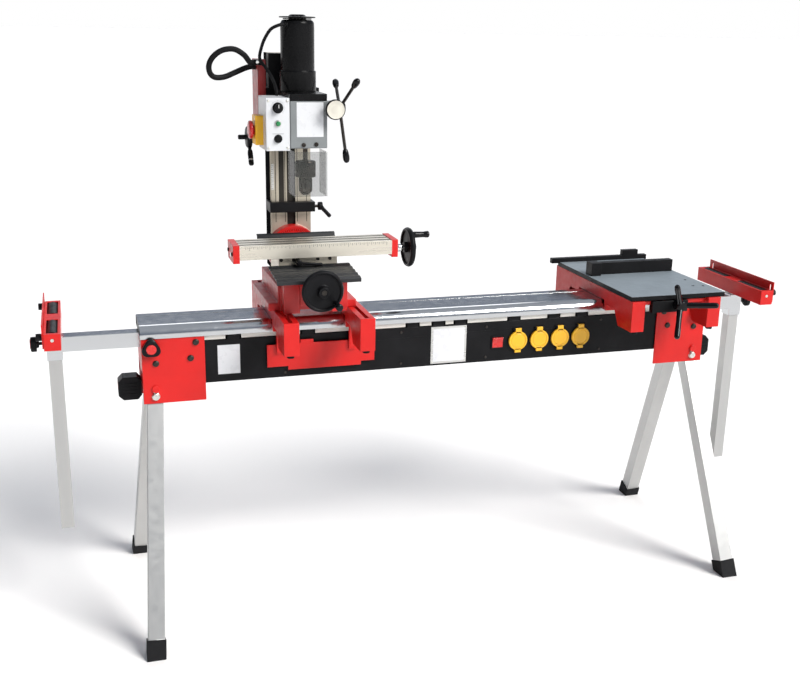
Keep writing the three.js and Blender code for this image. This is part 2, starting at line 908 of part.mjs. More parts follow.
function support(name, side, middle, knobDirection) {
  const holder = place(stand, middle, 0, 0);
  // The extension tube runs inward from the sleeve
  const inward = -side;
  const sleeveHalf = sleeveWidth / 2;
  const tubeMiddle = tubeTop - tubeHalf;
  const [from, to] = [inward * (sleeveHalf - overrun), inward * (sleeveHalf + tubeLength)];
  const tube = tubeX(tubeSize, tubeSize, tubeWall, Math.min(from, to), Math.max(from, to))
    .translate(0, 0, tubeMiddle);
  const bore = block(-postWidth / 2 - gap, postWidth / 2 + gap, -postDepth / 2 - gap, postDepth / 2 + gap,
    sleeveBottom - overrun, sleeveTop + overrun);
  const reach = knobDirection[0] ? sleeveHalf : sleeveDepth / 2;
  const knobHole = bar(starShank + gap, [0, 0, postKnobHeight],
    [knobDirection[0] * (reach + overrun), knobDirection[1] * (reach + overrun), postKnobHeight], pinSides);
  const sleeve = block(-sleeveHalf, sleeveHalf, -sleeveDepth / 2, sleeveDepth / 2, sleeveBottom, sleeveTop);
  piece(`extension_tube_${name}`, cut(join(sleeve, tube), bore, knobHole), 'aluminium', holder);
  piece(`support_post_${name}`,
    tubeZ(postWidth, postDepth, postWall, postBottom, headBottom - gap), 'aluminium', holder);
  const face = knobDirection[0] ? postWidth / 2 : postDepth / 2;
  const knob = piece(`post_knob_${name}`, starKnob(reach - face + gap + postKnobStand, starRadius), 'black', holder);
  knob.position.set(knobDirection[0] * face, knobDirection[1] * face, postKnobHeight);
  pointMesh(knob, knobDirection);
  rollerHead(name, side, holder);
}

function rollerHead(name, side, holder) {
  const head = place(holder, 0, 0, headBottom);
  const halfLong = headLength / 2;
  const halfWide = headWidth / 2;
  let shell = cut(
    block(-halfWide, halfWide, -halfLong, halfLong, 0, headHeight),
    block(-halfWide + headWall, halfWide - headWall, -halfLong + headWall, halfLong - headWall, headWall,
      headHeight - headWall),
    bar(rollerAxle + gap, [0, -halfLong - overrun, rollerAxleHeight], [0, halfLong + overrun,
      rollerAxleHeight],
      pinSides));
  const outer = side * halfWide;
  const knobs = [];
  for (const end of [-1, 1]) {
    const [y0, y1] = [rollerFrom - windowSpare, rollerTo + windowSpare].map((y) => end * y);
    shell = cut(shell, block(-windowHalf, windowHalf, Math.min(y0, y1), Math.max(y0, y1),
      headHeight - headWall - overrun, headHeight + overrun));
    const y = end * stopScrewPlace;
    const stand0 = stopThick + gap * 2;
    knobs.push(turned([[0, -headWall + gap], [stopScrew, -headWall + gap], [stopScrew, stand0],
      [stopKnob, stand0], [stopKnob, stand0 + stopKnobLong], [0, stand0 + stopKnobLong]],
    [outer, y, stopScrewHeight], [side, 0, 0], smallSides));
  }
  piece(`support_head_${name}`, join(shell, ...knobs), 'red', head);
  const roll = [[0, 0], [rollerAxle, 0], [rollerAxle, halfLong - rollerTo], [rollerRadius,
    halfLong - rollerTo],
    [rollerRadius, halfLong - rollerFrom], [rollerAxle, halfLong - rollerFrom]];
  const mirrored = roll.slice().reverse().map(([r, h]) => [r, headLength - h]);
  const rollers = turned([...roll, ...mirrored], [0, -halfLong, rollerAxleHeight], [0, 1, 0], fineSides);
  piece(`rollers_${name}`, rollers, 'black', head);
  const inner = outer + side * gap;
  const face = inner + side * stopThick;
  let plate = block(Math.min(inner, face), Math.max(inner, face), -stopLength / 2, stopLength / 2, stopLow,
    stopHigh);
  for (const end of [-1, 1]) {
    const y = end * stopScrewPlace;
    plate = cut(plate, block(Math.min(inner, face) - overrun, Math.max(inner, face) + overrun,
      y - stopSlotWidth / 2, y + stopSlotWidth / 2, stopSlotLow, stopSlotHigh));
  }
  piece(`stop_plate_${name}`, plate, 'red', head);
}

function extensionKnob(name, side) {
  const holder = place(stand, side * extensionKnobPlace, -tubeHalf, extensionKnobHeight);
  const knob = piece(`extension_knob_${name}`, starKnob(bracketDepth / 2 - tubeHalf + gap, extensionStar), 'black',
    holder);
  pointMesh(knob, [0, -1, 0]);
}

function socketLid(index) {
  const holder = place(stand, socketPlaces[index], channelFront - lidStandOff, lidTop - lidThick / 2);
  const drop = lidTop - lidThick / 2 - socketHeight;
  const tab = lidTabWidth / 2;
  const lid = cut(join(
    bar(lidRadius, [0, -lidThick, -drop], [0, 0, -drop], fineSides),
    block(-tab, tab, -lidThick, 0, -drop, lidThick / 2),
    block(-tab, tab, -lidThick, 0, lidBottom - lidTop + lidThick / 2, -drop)),
  bar(lidPin + gap, [-tab - overrun, -lidThick / 2, 0], [tab + overrun, -lidThick / 2, 0], smallSides));
  piece(`socket_lid_${index + 1}`, lid, 'yellow', holder);
}

function rocker() {
  const holder = place(stand, rockerPlace, channelFront, rockerHeight);
  const half = rockerTall / 2;
  const shape = outline([[rockerIn, -half / 2], [rockerIn, half / 2], [0, half], [-rockerOut, half],
    [-rockerOut + overrun, 0], [-rockerOut, -half], [0, -half]]);
  const mesh = piece('rocker_switch', alongX(shape, -rockerWide / 2, rockerWide / 2), 'red', holder);
  mesh.rotation.x = THREE.MathUtils.degToRad(rockerTip);
}

function armOutline() {
  const half = armLength / 2;
  const rest = railTop + gap;
  const inner = railDepth / 2 + gap;
  const jaw = inner + hookThick;
  const right = [[inner, rest], [inner, hookBottom], [jaw, hookBottom], [jaw, armUnderside],
    [armKnee, armUnderside], [half - armToe, armBottom], [half, armBottom], [half, armTop]];
  const left = right.slice().reverse().map(([y, z]) => [-y, z]);
  return outline([...right, ...left]);
}

// One arm across the rail: a channel open below, closed at both toes, with a slot for the machine's bolts
function mountArm(middle) {
  const half = armLength / 2;
  const inner = armWidth / 2 - armWall;
  const profile = armOutline();
  let arm = alongX(profile, middle - armWidth / 2, middle + armWidth / 2);
  for (const face of [-1, 1]) {
    const [a, b] = [railDepth / 2 + gap + hookThick, half - armWall].map((y) => face * y);
    arm = cut(arm, block(middle - inner, middle + inner, Math.min(a, b), Math.max(a, b),
      armBottom + armWall,
      armTop - armWall));
    const [c, d] = [railDepth / 2 + gap + hookThick, half - armToe].map((y) => face * y);
    arm = cut(arm, block(middle - inner, middle + inner, Math.min(c, d), Math.max(c, d),
      armBottom - overrun,
      armTop - armWall));
    const [e, f] = [armSlotFrom, armSlotTo].map((y) => face * y);
    arm = cut(arm, block(middle - armSlotWidth / 2, middle + armSlotWidth / 2, Math.min(e, f),
      Math.max(e, f),
      armTop - armWall - overrun, armTop + overrun));
    arm = join(arm, bar(padRadius, [middle, face * (half - padInset), armBottom - padHeight],
      [middle, face * (half - padInset), armBottom + overrun], roundSides));
  }
  return cut(arm, block(middle - inner, middle + inner, -railDepth / 2, railDepth / 2, railTop - overrun,
    armTop - armWall));
}

function crossBars(places, faces) {
  const half = armLength / 2;
  const bars = [];
  for (const face of faces) {
    const y = face * (half - crossBarInset);
    bars.push(block(places[0] + armWidth / 2 - overrun, places[1] - armWidth / 2 + overrun,
      y - crossBarDeep / 2, y + crossBarDeep / 2, armTop - armWall - crossBarHeight, armTop - armWall));
  }
  return bars;
}

function millMount() {
  const frontFace = railFront - gap - hookThick;
  const straps = millArmPlaces.map((x) => block(x - strapWidth / 2, x + strapWidth / 2, frontFace,
    frontFace + hookThick - apronThick, strapBottom, railTop - overrun));
  const rear = frontFace + hookThick - apronThick;
  const low = apronBottom + apronStepHeight;
  const stepLeft = apronFrom + apronStepLeft;
  const stepRight = apronTo - apronStepRight;
  const tabTo = apronTabPlace + apronTabWidth;
  const tabTop = apronTop + apronTabHeight;
  const sheet = outline([[apronFrom, low], [stepLeft, low], [stepLeft, apronBottom], [stepRight,
    apronBottom],
    [stepRight, low], [apronTo, low], [apronTo, apronTop], [tabTo, apronTop], [tabTo, tabTop],
    [apronTabPlace, tabTop], [apronTabPlace, apronTop], [apronFrom, apronTop]]);
  const apron = alongY(sheet, rear - gap, rear + apronThick);
  const arms = millArmPlaces.map(mountArm);
  piece('mill_mount', join(...arms, ...straps, apron, ...crossBars(millArmPlaces, [1])), 'red', stand);
}

function worktable() {
  const clamp = block(clampLeft, clampRight, clampFront, -armLength / 2 + crossBarInset, clampBottom,
    armTop - armWall);
  const shaftHole = bar(handleShaft + gap, [handlePlace, clampFront - overrun, handleHeight],
    [handlePlace, clampFront + handleHubLong + handleShaft, handleHeight]);
  const mount = cut(join(...tableArmPlaces.map(mountArm), ...crossBars(tableArmPlaces, [-1, 1]), clamp),
    shaftHole);
  piece('worktable_mount', mount, 'red', stand);
  const low = armTop + gap;
  let top = block(plateLeft, plateRight, -plateHalf, plateHalf, low, plateTop);
  for (const [x, y] of plateHoles) {
    top = cut(top, bar(plateHole, [x, y, low - overrun], [x, y, plateTop + overrun], smallSides));
  }
  const rest = block(rearBarLeft, rearBarRight, rearBarFront, plateHalf, plateTop - overrun,
    plateTop + rearBarHeight);
  const knob = block(rearBlockLeft, rearBlockRight, rearBarFront, plateHalf, plateTop,
    plateTop + rearBarHeight
    + rearBlockHeight);
  piece('worktable_plate', join(top, rest, knob), 'plate', stand);
  const seat = plateTop + gap;
  const fence = join(
    block(fenceLeft, fenceRight, fenceFront, fenceFront + fenceDepth, seat, seat + fenceHeight),
    block(fenceLeft, fenceLeft + fenceBlockLong, fenceBlockFront, fenceFront + fenceDepth, seat,
      seat + fenceBlockHeight));
  piece('worktable_fence', fence, 'black', stand);
  const holder = place(stand, handlePlace, clampFront, handleHeight);
  const arms = handleAngles.map((degrees) => {
    const angle = THREE.MathUtils.degToRad(degrees);
    const lean = THREE.MathUtils.degToRad(handleLean);
    const reach = [Math.cos(angle) * Math.cos(lean), -Math.sin(lean), Math.sin(angle) * Math.cos(lean)];
    const root = [0, -handleHubLong / 2, 0];
    return bar(handleArmRadius, root, root.map((v, i) => v + reach[i] * handleArm), smallSides);
  });
  const hub = turned([[0, -handleHubLong], [handleShaft, -handleHubLong], [handleShaft, gap],
    [handleHub, gap], [handleHub, handleHubLong], [0, handleHubLong]], [0, 0, 0], [0, -1, 0]);
  piece('star_handle', join(hub, ...arms), 'black', holder);
}

const mill = place(stand, millX, 0, armTop + gap);

function millBase() {
  const body = block(-baseHalf, baseHalf, baseFront, baseRear, 0, baseHeight);
  const flange = block(-baseFlangeHalf, baseFlangeHalf, baseFront, baseRear, 0, baseFlangeHeight);
  const pillars = [-1, 1].map((side) => {
    const [a, b] = [pillarInner, pillarOuter].map((x) => side * x);
    return block(Math.min(a, b), Math.max(a, b), pillarFront, baseFront - gap, 0, pillarHeight);
  });
  const tie = block(-pillarOuter, pillarOuter, baseFront - overrun, baseFront + overrun, 0, baseHeight);
  const bearing = block(-pillarInner - overrun, pillarInner + overrun, pillarFront + overrun,
    pillarFront + overrun + bearingThick, baseFlangeHeight, bearingHeight);
  const way = alongY(outline([[-wayFootHalf, baseHeight - overrun], [wayFootHalf, baseHeight - overrun],
    [wayTopHalf, wayTop], [-wayTopHalf, wayTop]]), wayFront, uprightFront + overrun);
  const upright = block(-uprightHalf, uprightHalf, uprightFront, baseRear, 0, uprightTop);
  const whole = join(body, flange, ...pillars, tie, bearing, way, upright);
  piece('mill_base', cut(whole,
    block(-trenchHalf, trenchHalf, baseFront - overrun * 2, uprightFront - overrun, baseHeight - trenchHalf,
      wayTop + overrun),
    bar(screwRadius + gap, [0, pillarFront - overrun, yScrewHeight], [0, uprightFront / 2, yScrewHeight]),
    bar(tiltSpigot + gap, [0, uprightFront - overrun, tiltHeight], [0, baseRear + overrun, tiltHeight],
      fineSides)),
  'castRed', mill);
}

// A pleated sheet between two edges, with its ribs across
function pleats(fromY, fromZ, toY, toZ, lip) {
  const top = [];
  const run = [toY - fromY, toZ - fromZ];
  const length = Math.hypot(...run);
  const up = [-run[1] / length, run[0] / length].map((v) => (run[0] > 0 ? v : -v));
  const steps = coverRibs * 2;
  for (let i = 0; i <= steps; i += 1) {
    const t = i / steps;
    const rise = i % 2 ? coverRib : 0;
    top.push([fromY + run[0] * t + up[0] * rise, fromZ + run[1] * t + up[1] * rise]);
  }
  const under = top.slice().reverse().map(([y, z]) => [y - up[0] * coverThick, z - up[1] * coverThick]);
  const sheet = alongX(outline([...top, ...under]), -coverHalf, coverHalf);
  const sign = Math.sign(run[0]);
  const edge = [toY - sign * coverThick, toY].sort((a, b) => a - b);
  return lip ? join(sheet, block(-coverHalf, coverHalf, edge[0], edge[1], toZ - lip, toZ)) : sheet;
}

function wayCovers() {
  const front = pleats(saddleFront - gap, coverRear, coverFrontY, coverFront, coverLip);
  const rear = pleats(saddleRear + gap, rearCoverBottom, uprightFront - gap - coverThick, rearCoverTop, 0);
  piece('front_way_cover', front, 'rubber', mill);
  piece('rear_way_cover', rear, 'rubber', mill);
}

function saddle() {
  const body = block(-saddleHalf, saddleHalf, saddleFront, saddleRear, saddleSkirt, saddleTop);
  const slack = gap * 2;
  const foot = baseHeight - overrun;
  const tail = alongY(outline([[-wayFootHalf - slack, foot], [wayFootHalf + slack, foot],
    [wayTopHalf + slack, wayTop + gap], [-wayTopHalf - slack, wayTop + gap]]),
  saddleFront - overrun, saddleRear + overrun);
  const ridgeTop = saddleTop + ridgeHeight;
  const ridge = alongX(outline([[xScrewY - ridgeHalf + ridgeUndercut, saddleTop - overrun],
    [xScrewY + ridgeHalf - ridgeUndercut, saddleTop - overrun], [xScrewY + ridgeHalf, ridgeTop],
    [xScrewY - ridgeHalf, ridgeTop]]), -saddleHalf, saddleHalf);
  const channel = block(-saddleHalf - overrun, saddleHalf + overrun, xScrewY - nutHalf, xScrewY + nutHalf,
    saddleTop, ridgeTop + overrun);
  const xNut = block(-nutLong / 2, nutLong / 2, xScrewY - nutHalf - overrun, xScrewY + nutHalf + overrun,
    saddleTop - overrun, ridgeTop);
  const yNut = block(-nutHalf, nutHalf, -nutLong / 2, nutLong / 2, yScrewHeight - nutHalf,
    wayTop + overrun);
  piece('saddle', cut(join(cut(join(cut(body, tail), ridge), channel), xNut, yNut),
    bar(screwRadius + gap, [-nutLong, xScrewY, xScrewHeight], [nutLong, xScrewY, xScrewHeight]),
    bar(screwRadius + gap, [0, -nutLong, yScrewHeight], [0, nutLong, yScrewHeight])), 'cream', mill);
}

function saddleLever() {
  const holder = place(mill, leverPlace, saddleFront, leverHeight);
  const reach = leverFront + saddleFront;
  const arm = new THREE.BoxGeometry(leverArm, leverThick, leverThick);
  arm.translate(leverArm / 2, -reach + leverThick / 2, 0);
  arm.rotateY(THREE.MathUtils.degToRad(leverDroop));
  piece('saddle_lever', join(bar(leverHub, [0, -reach, 0], [0, -gap, 0], smallSides), solid(arm)), 'black',
    holder);
}

// A handwheel on its screw, along +Z out of the bearing; the crank handle stands off the rim
function handwheel(stand0, screwLong, crankDegrees) {
  const rim = stand0 + wheelRim;
  const half = wheelWeb / 2;
  const middle = stand0 + wheelRim / 2;
  const rimIn = wheelRadius - wheelRimDeep;
  const front = stand0 + wheelHubFront;
  const collar = stand0 - wheelCollarBack;
  const wheel = turned([[0, -screwLong], [screwRadius, -screwLong], [screwRadius, gap], [wheelCollar, gap],
    [wheelCollar, collar], [screwRadius, collar], [screwRadius, stand0 - wheelWeb],
    [wheelHub, stand0 - wheelWeb], [wheelHub, middle - half],
    [rimIn, middle - half], [rimIn, stand0], [wheelRadius - half, stand0], [wheelRadius, middle],
    [wheelRadius - half, rim], [rimIn, rim], [rimIn, middle + half], [wheelHub, middle + half],
    [wheelHub, front], [0, front]], [0, 0, 0], [0, 0, 1], fineSides);
  const angle = THREE.MathUtils.degToRad(crankDegrees);
  const at = [crankPlace * Math.cos(angle), crankPlace * Math.sin(angle), middle];
  const grip = wheelRim / 2 + crankNeckLong;
  const crank = turned([[0, 0], [crankNeck, 0], [crankNeck, grip], [crankRadius - crankNeck / 2, grip],
    [crankRadius, grip + crankNeck], [crankRadius, crankLong], [crankNeck, crankLong + crankNeck],
    [0, crankLong + crankNeck]], at, [0, 0, 1], smallSides);
  return join(wheel, crank);
}

function yHandwheel() {
  const holder = place(mill, 0, pillarFront + overrun, yScrewHeight);
  const mesh = piece('y_handwheel', handwheel(yWheelStand, yScrewLong, yCrankAngle), 'black', holder);
  mesh.rotation.x = Math.PI / 2;
}

function millTable() {
  const middle = (tableFront + tableRear) / 2;
  const half = (tableRear - tableFront) / 2;
  const slot = (y) => [[y + slotNeck / 2, tableTop], [y + slotNeck / 2, tableTop - slotNeckDeep],
    [y + slotWide / 2, tableTop - slotNeckDeep], [y + slotWide / 2, tableTop - slotDeep],
    [y - slotWide / 2, tableTop - slotDeep], [y - slotWide / 2, tableTop - slotNeckDeep],
    [y - slotNeck / 2, tableTop - slotNeckDeep], [y - slotNeck / 2, tableTop]];
  const slack = gap * 2;
  const grooveTop = saddleTop + ridgeHeight + gap;
  const section = outline([
    [middle - half, tableBottom], [xScrewY - ridgeHalf + ridgeUndercut - slack, tableBottom],
    [xScrewY - ridgeHalf - slack, grooveTop], [xScrewY + ridgeHalf + slack, grooveTop],
    [xScrewY + ridgeHalf - ridgeUndercut + slack, tableBottom], [middle + half, tableBottom],
    [middle + half, tableTop], ...[1, 0, -1].flatMap((i) => slot(middle + i * slotPitch)),
    [middle - half, tableTop]]);
  const caps = [[tableLeft - capThick, tableLeft + gap], [tableRight - gap, tableRight + capThick]]
    .map(([x0, x1]) => cut(block(x0, x1, tableFront, tableRear, capBottom, capTop),
      bar(screwRadius + gap, [x0 - overrun, xScrewY, xScrewHeight], [x1 + overrun, xScrewY,
        xScrewHeight])));
  piece('mill_table', join(alongX(section, tableLeft, tableRight), ...caps), 'steel', mill);
}

function xHandwheel() {
  const start = tableRight + capThick;
  const holder = place(mill, start, xScrewY, xScrewHeight);
  const mesh = piece('x_handwheel', handwheel(xWheelStand, start - tableLeft + capThick, xCrankAngle),
    'black', holder);
  mesh.rotation.y = Math.PI / 2;
}

function column() {
  const half = columnHalf;
  const notch = half - wayNotch;
  const deep = columnFront + wayNotchDeep;
  const section = outline([[-half, columnFront], [-wayGrooveHalf, columnFront],
    [-wayGrooveHalf, columnFront + wayGrooveDeep], [wayGrooveHalf, columnFront + wayGrooveDeep],
    [wayGrooveHalf, columnFront], [half, columnFront], [notch, deep], [half, deep + wayNotchDeep],
    [half, columnRear], [-half, columnRear], [-half, deep + wayNotchDeep], [-notch, deep]]);
  const inside = half - columnWall;
  const post = cut(alongZ(section, columnBottom, columnTop),
    block(-inside, inside, columnFront + columnWall * 2, columnRear - columnWall, columnBottom - overrun,
      columnTop - columnWall));
  const flange = bar(tiltRadius, [0, baseRear + gap, tiltHeight], [0, columnFront + overrun, tiltHeight],
    tiltSides);
  const spigot = bar(tiltSpigot, [0, uprightFront + gap, tiltHeight], [0, columnFront, tiltHeight],
    fineSides);
  piece('column', join(post, flange, spigot), 'iron', mill);
}

function depthCollar() {
  const inner = columnHalf + gap;
  const outer = inner + collarArm;
  const top = collarBottom + collarHeight;
  const collar = cut(block(-outer, outer, collarFront, columnFront + collarReach, collarBottom, top),
    block(-inner, inner, columnFront - gap, columnFront + collarReach + overrun, collarBottom - overrun,
      top + overrun));
  piece('depth_collar', collar, 'black', mill);
  const height = collarHeight / 2;
  const holder = place(mill, outer, (collarFront + columnFront) / 2, collarBottom + height);
  const start = [collarStudLong, 0, 0];
  const end = [collarStudLong + collarLeverReach, 0, -collarLeverDrop];
  const lever = join(bar(collarStud, [gap, 0, 0], start, smallSides),
    bar(collarLeverThick, [collarStudLong - collarLeverThick / 2, 0, 0],
      [collarStudLong + collarLeverThick / 2, 0, 0], smallSides),
    bar(collarLeverThick / 2, start, end, smallSides));
  piece('collar_lever', lever, 'black', holder);
}

function headSlide() {
  const inner = columnHalf + gap;
  const rear = columnFront - gap;
  const plate = join(block(-slideHalf, slideHalf, slideFront, rear, slideBottom, slideTop),
    block(slidePlateLeft, columnHalf, slideFront, rear, slideTop - overrun, columnTop));
  const cheeks = [-1, 1].map((side) => {
    const [a, b] = [inner, slideHalf].map((x) => side * x);
    return block(Math.min(a, b), Math.max(a, b), rear - overrun, rear + slideCheek, slideBottom, slideTop);
  });
  piece('head_slide', join(plate, ...cheeks), 'black', mill);
}

function headCasting() {
  const rear = slideFront - gap;
  const body = block(-headHalf, headHalf, headFront, rear, headBase, headCrown);
  const bore = bar(quillRadius + gap, [0, spindleY, headBase - overrun], [0, spindleY, quillTop + overrun],
    fineSides);
  const housing = bar(feedHousing, [headHalf - overrun, feedY, feedHeight],
    [headHalf + feedHousingLong, feedY, feedHeight]);
  const bush = cut(bar(feedBush, [feedX, feedY, feedHeight], [feedX, feedY - feedHousing - feedBushLong / 3,
    feedHeight]), bar(feedShaft + gap, [feedX, feedY - feedHousing / 2, feedHeight],
    [feedX, feedY - feedHousing - feedBushLong, feedHeight]));
  const boss = bar(lockBoss, [-headHalf + overrun, lockY, lockHeight], [-headHalf - lockBossLong, lockY,
    lockHeight]);
  const pinHole = bar(guardPin + gap, [guardLeft + guardPin, guardRear, headBase - overrun],
    [guardLeft + guardPin, guardRear, headBase + guardPin * 3], smallSides);
  const whole = join(cut(body, bore), cut(housing, bar(feedShaft + gap, [feedX, feedY - feedHousing / 2,
    feedHeight], [feedX, feedY - feedHousing - overrun, feedHeight])), bush, boss);
  piece('head_casting', cut(whole, pinHole,
    bar(lockShaft + gap, [-headHalf - lockBossLong / 4, lockY, lockHeight],
      [-headHalf - lockBossLong - overrun, lockY, lockHeight])), 'grey', mill);
}

function motor() {
  const seat = headCrown + gap;
  const plate = block(-coverPlateHalf, coverPlateHalf, headFront - gap, coverPlateRear, seat,
    seat + coverPlate);
  const base = seat + coverPlate - overrun;
  const sleeve = overrun + motorSleeveHeight;
  const top = overrun + motorHeight;
  const cap = top + motorCapStand;
  const can = turned([[0, 0], [motorSleeve, 0], [motorSleeve, sleeve], [motorRadius, sleeve],
    [motorRadius, top - motorShoulder], [motorRadius - motorShoulder, top], [motorNeck, top], [motorNeck,
      cap],
    [motorCap, cap], [motorCap, cap + motorCapThick], [motorNeck, cap + motorCapThick],
    [motorNeck, cap + motorCapThick + motorCrown], [0, cap + motorCapThick + motorCrown]],
  [0, motorY, base], [0, 0, 1], fineSides);
  const height = base + top - glandDrop;
  const turn = THREE.MathUtils.degToRad(glandAngle);
  const out = [Math.cos(turn), Math.sin(turn), 0];
  const gland = bar(glandRadius, [out[0] * (motorRadius - glandLong),
    motorY + out[1] * (motorRadius - glandLong),
    height - glandRadius], [out[0] * (motorRadius + glandLong / 2),
      motorY + out[1] * (motorRadius + glandLong / 2),
    height - glandRadius], smallSides);
  piece('motor', join(plate, can, gland), 'black', mill);
}

function controlBox() {
  const right = -headHalf - gap;
  const body = block(boxLeft, right, boxFront, boxRear, boxBottom, boxTop);
  const lamp = bar(lampRadius, [panelX, boxFront + overrun, lampHeight], [panelX, boxFront - panelOut,
    lampHeight]);
  const fuse = bar(fuseRadius, [panelX, boxFront + overrun, fuseHeight], [panelX, boxFront - panelOut,
    fuseHeight]);
  const switchY = (switchFront + switchRear) / 2;
  const switchZ = (switchBottom + switchTop) / 2;
  const left = boxLeft - switchThick;
  const housing = cut(block(left, boxLeft + gap, switchFront, switchRear, switchBottom, switchTop),
    bar(buttonStem + gap, [left - overrun, switchY, switchZ], [boxLeft - buttonStand, switchY, switchZ]));
  piece('control_box', cut(join(body, lamp, fuse, housing),
    bar(boltShank + gap, [panelX, boxFront - overrun, speedHeight], [panelX, boxFront + speedLong,
      speedHeight],
      pinSides)), 'white', mill);
  const holder = place(mill, left, switchY, switchZ);
  const inside = switchThick - buttonStand * 2;
  piece('stop_button', turned([[0, -inside + buttonStand], [buttonStem, -inside + buttonStand],
    [buttonStem, buttonStand], [buttonRadius, buttonStand], [buttonRadius, buttonLong - buttonStand],
    [buttonRadius - buttonStand, buttonLong], [0, buttonLong]], [0, 0, 0], [-1, 0, 0], fineSides), 'red',
      holder);
  const dial = place(mill, panelX, boxFront, speedHeight);
  piece('speed_knob', turned([[0, -speedLong / 2], [boltShank, -speedLong / 2], [boltShank, gap],
    [speedSkirt, gap], [speedSkirt, overrun + gap], [speedRadius, overrun * 2], [speedRadius, speedLong],
    [0, speedLong]], [0, 0, 0], [0, -1, 0], fineSides), 'black', dial);
}

function lockLever() {
  const holder = place(mill, -headHalf - lockBossLong, lockY, lockHeight);
  const reach = -boxLeft - headHalf - lockBossLong + lockStand;
  const core = turned([[0, -lockBossLong / 2], [lockShaft, -lockBossLong / 2], [lockShaft, reach],
    [lockHub, reach], [lockHub, reach + lockHubLong], [lockKnob, reach + lockHubLong],
    [lockKnob, reach + lockHubLong + lockKnobLong], [0, reach + lockHubLong + lockKnobLong]], [0, 0, 0],
  [-1, 0, 0]);
  const angle = THREE.MathUtils.degToRad(lockArmAngle);
  const x = -reach - lockHubLong / 2;
  const at = (r) => [x, r * Math.cos(angle), r * Math.sin(angle)];
  piece('lock_lever', join(core, bar(lockArmRadius, at(0), at(lockArm), smallSides),
    bar(lockGripRadius, at(lockArm / 2), at(lockArm), smallSides)), 'black', holder);
}

function capstan() {
  const start = headHalf + feedHousingLong;
  const holder = place(mill, start, feedY, feedHeight);
  const hub = bar(capstanHub, [gap, 0, 0], [capstanHubLong, 0, 0]);
  const tip = capstanTipX - start;
  const rootX = capstanRootX - start;
  const arms = capstanAngles.flatMap((degrees) => {
    const angle = THREE.MathUtils.degToRad(degrees);
    const root = [rootX, 0, 0];
    const end = [tip, capstanRadius * Math.cos(angle), capstanRadius * Math.sin(angle)];
    const share = 1 - capstanKnobLong / capstanRadius;
    const neck = root.map((v, i) => v + (end[i] - v) * share);
    return [bar(capstanRod, root, end, smallSides), bar(capstanKnob, neck, end, smallSides)];
  });
  piece('capstan', join(hub, ...arms), 'black', holder);
  const front = feedY - feedHousing - feedBushLong / 3;
  const dial = place(mill, feedX, front, feedHeight);
  piece('feed_knob', turned([[0, -feedHousing / 2], [feedShaft, -feedHousing / 2], [feedShaft,
    feedKnobStand],
    [feedKnobRadius - overrun, feedKnobStand], [feedKnobRadius, feedKnobStand + overrun],
    [feedKnobRadius, feedKnobStand + feedKnobThick - overrun],
    [feedKnobRadius - overrun, feedKnobStand + feedKnobThick], [0, feedKnobStand + feedKnobThick]], [0,
      0, 0],
  [0, -1, 0], fineSides), 'cream', dial);
}

function spindle() {
  const holder = place(mill, 0, spindleY, 0);
  const bore = spindleRadius + gap;
  piece('quill', turned([[bore, headBase], [quillRadius, headBase], [quillRadius, quillTop],
    [bore, quillTop], [bore, headBase]], [0, 0, 0], [0, 0, 1], fineSides), 'steel', holder);
  piece('drill_chuck', turned([[0, chuckBottom + chuckBoreDeep], [chuckBore, chuckBottom + chuckBoreDeep],
    [chuckBore, chuckBottom], [chuckNose, chuckBottom], [chuckNarrow, chuckBottom + chuckNose],
    [chuckNarrow, chuckMiddle], [chuckWide, chuckMiddle], [chuckWide, chuckTop - overrun],
    [chuckWide - overrun, chuckTop], [arborRadius, chuckTop], [arborRadius, headBase - overrun],
    [spindleRadius, headBase - overrun], [spindleRadius, quillTop], [0, quillTop]], [0, 0, 0], [0, 0, 1],
  fineSides), 'steel', holder);
}

function guard() {
  const inner = cut(block(guardLeft, guardRight, guardFront, guardRear, guardBottom, guardTop),
    block(guardLeft + guardThick, guardRight - guardThick, guardFront + guardThick, guardRear + overrun,
      guardBottom - overrun, guardTop + overrun));
  const pin = bar(guardPin, [guardLeft + guardPin, guardRear, guardBottom], [guardLeft + guardPin,
    guardRear,
    headBase + guardPin * 2], smallSides);
  piece('chuck_guard', join(inner, pin), 'clear', mill);
}

function enclosure() {
  const body = block(enclosureLeft, -slideHalf - gap, enclosureFront, enclosureRear, slideBottom,
    enclosureTop);
  const clip = block(enclosureLeft - clipDeep, enclosureLeft + clipDeep, enclosureFront - clipDeep,
    enclosureFront + overrun, enclosureTop - clipHigh, enclosureTop);
  piece('rear_enclosure', join(body, clip), 'red', mill);
}

function cables() {
  piece('conduit_loop', hose(loopPath, loopRadius, loopSteps, smallSides), 'rubber', mill);
  piece('motor_cable', hose(motorCablePath, motorCableRadius, motorCableSteps, cableSides), 'rubber', mill);
}

beamRail();
powerBox();
piece('end_bracket_left', endBracket(-1), 'red', stand);
piece('end_bracket_right', endBracket(1), 'red', stand);
leg('front_left', -1, -1);
leg('rear_left', -1, 1);
leg('front_right', 1, -1);
leg('rear_right', 1, 1);
releaseHandle('release_handle_left', -1);
releaseHandle('release_handle_right', 1);
support('left', -1, supportLeft, [-1, 0, 0]);
support('right', 1, supportRight, [1, 0, 0]);
extensionKnob('left', -1);
extensionKnob('right', 1);
for (let i = 0; i < socketPlaces.length; i += 1) socketLid(i);
rocker();
millMount();
worktable();
millBase();
wayCovers();
saddle();
saddleLever();
yHandwheel();
millTable();
xHandwheel();
column();
depthCollar();
headSlide();
headCasting();
motor();
controlBox();
lockLever();
capstan();
spindle();
guard();
enclosure();
cables();

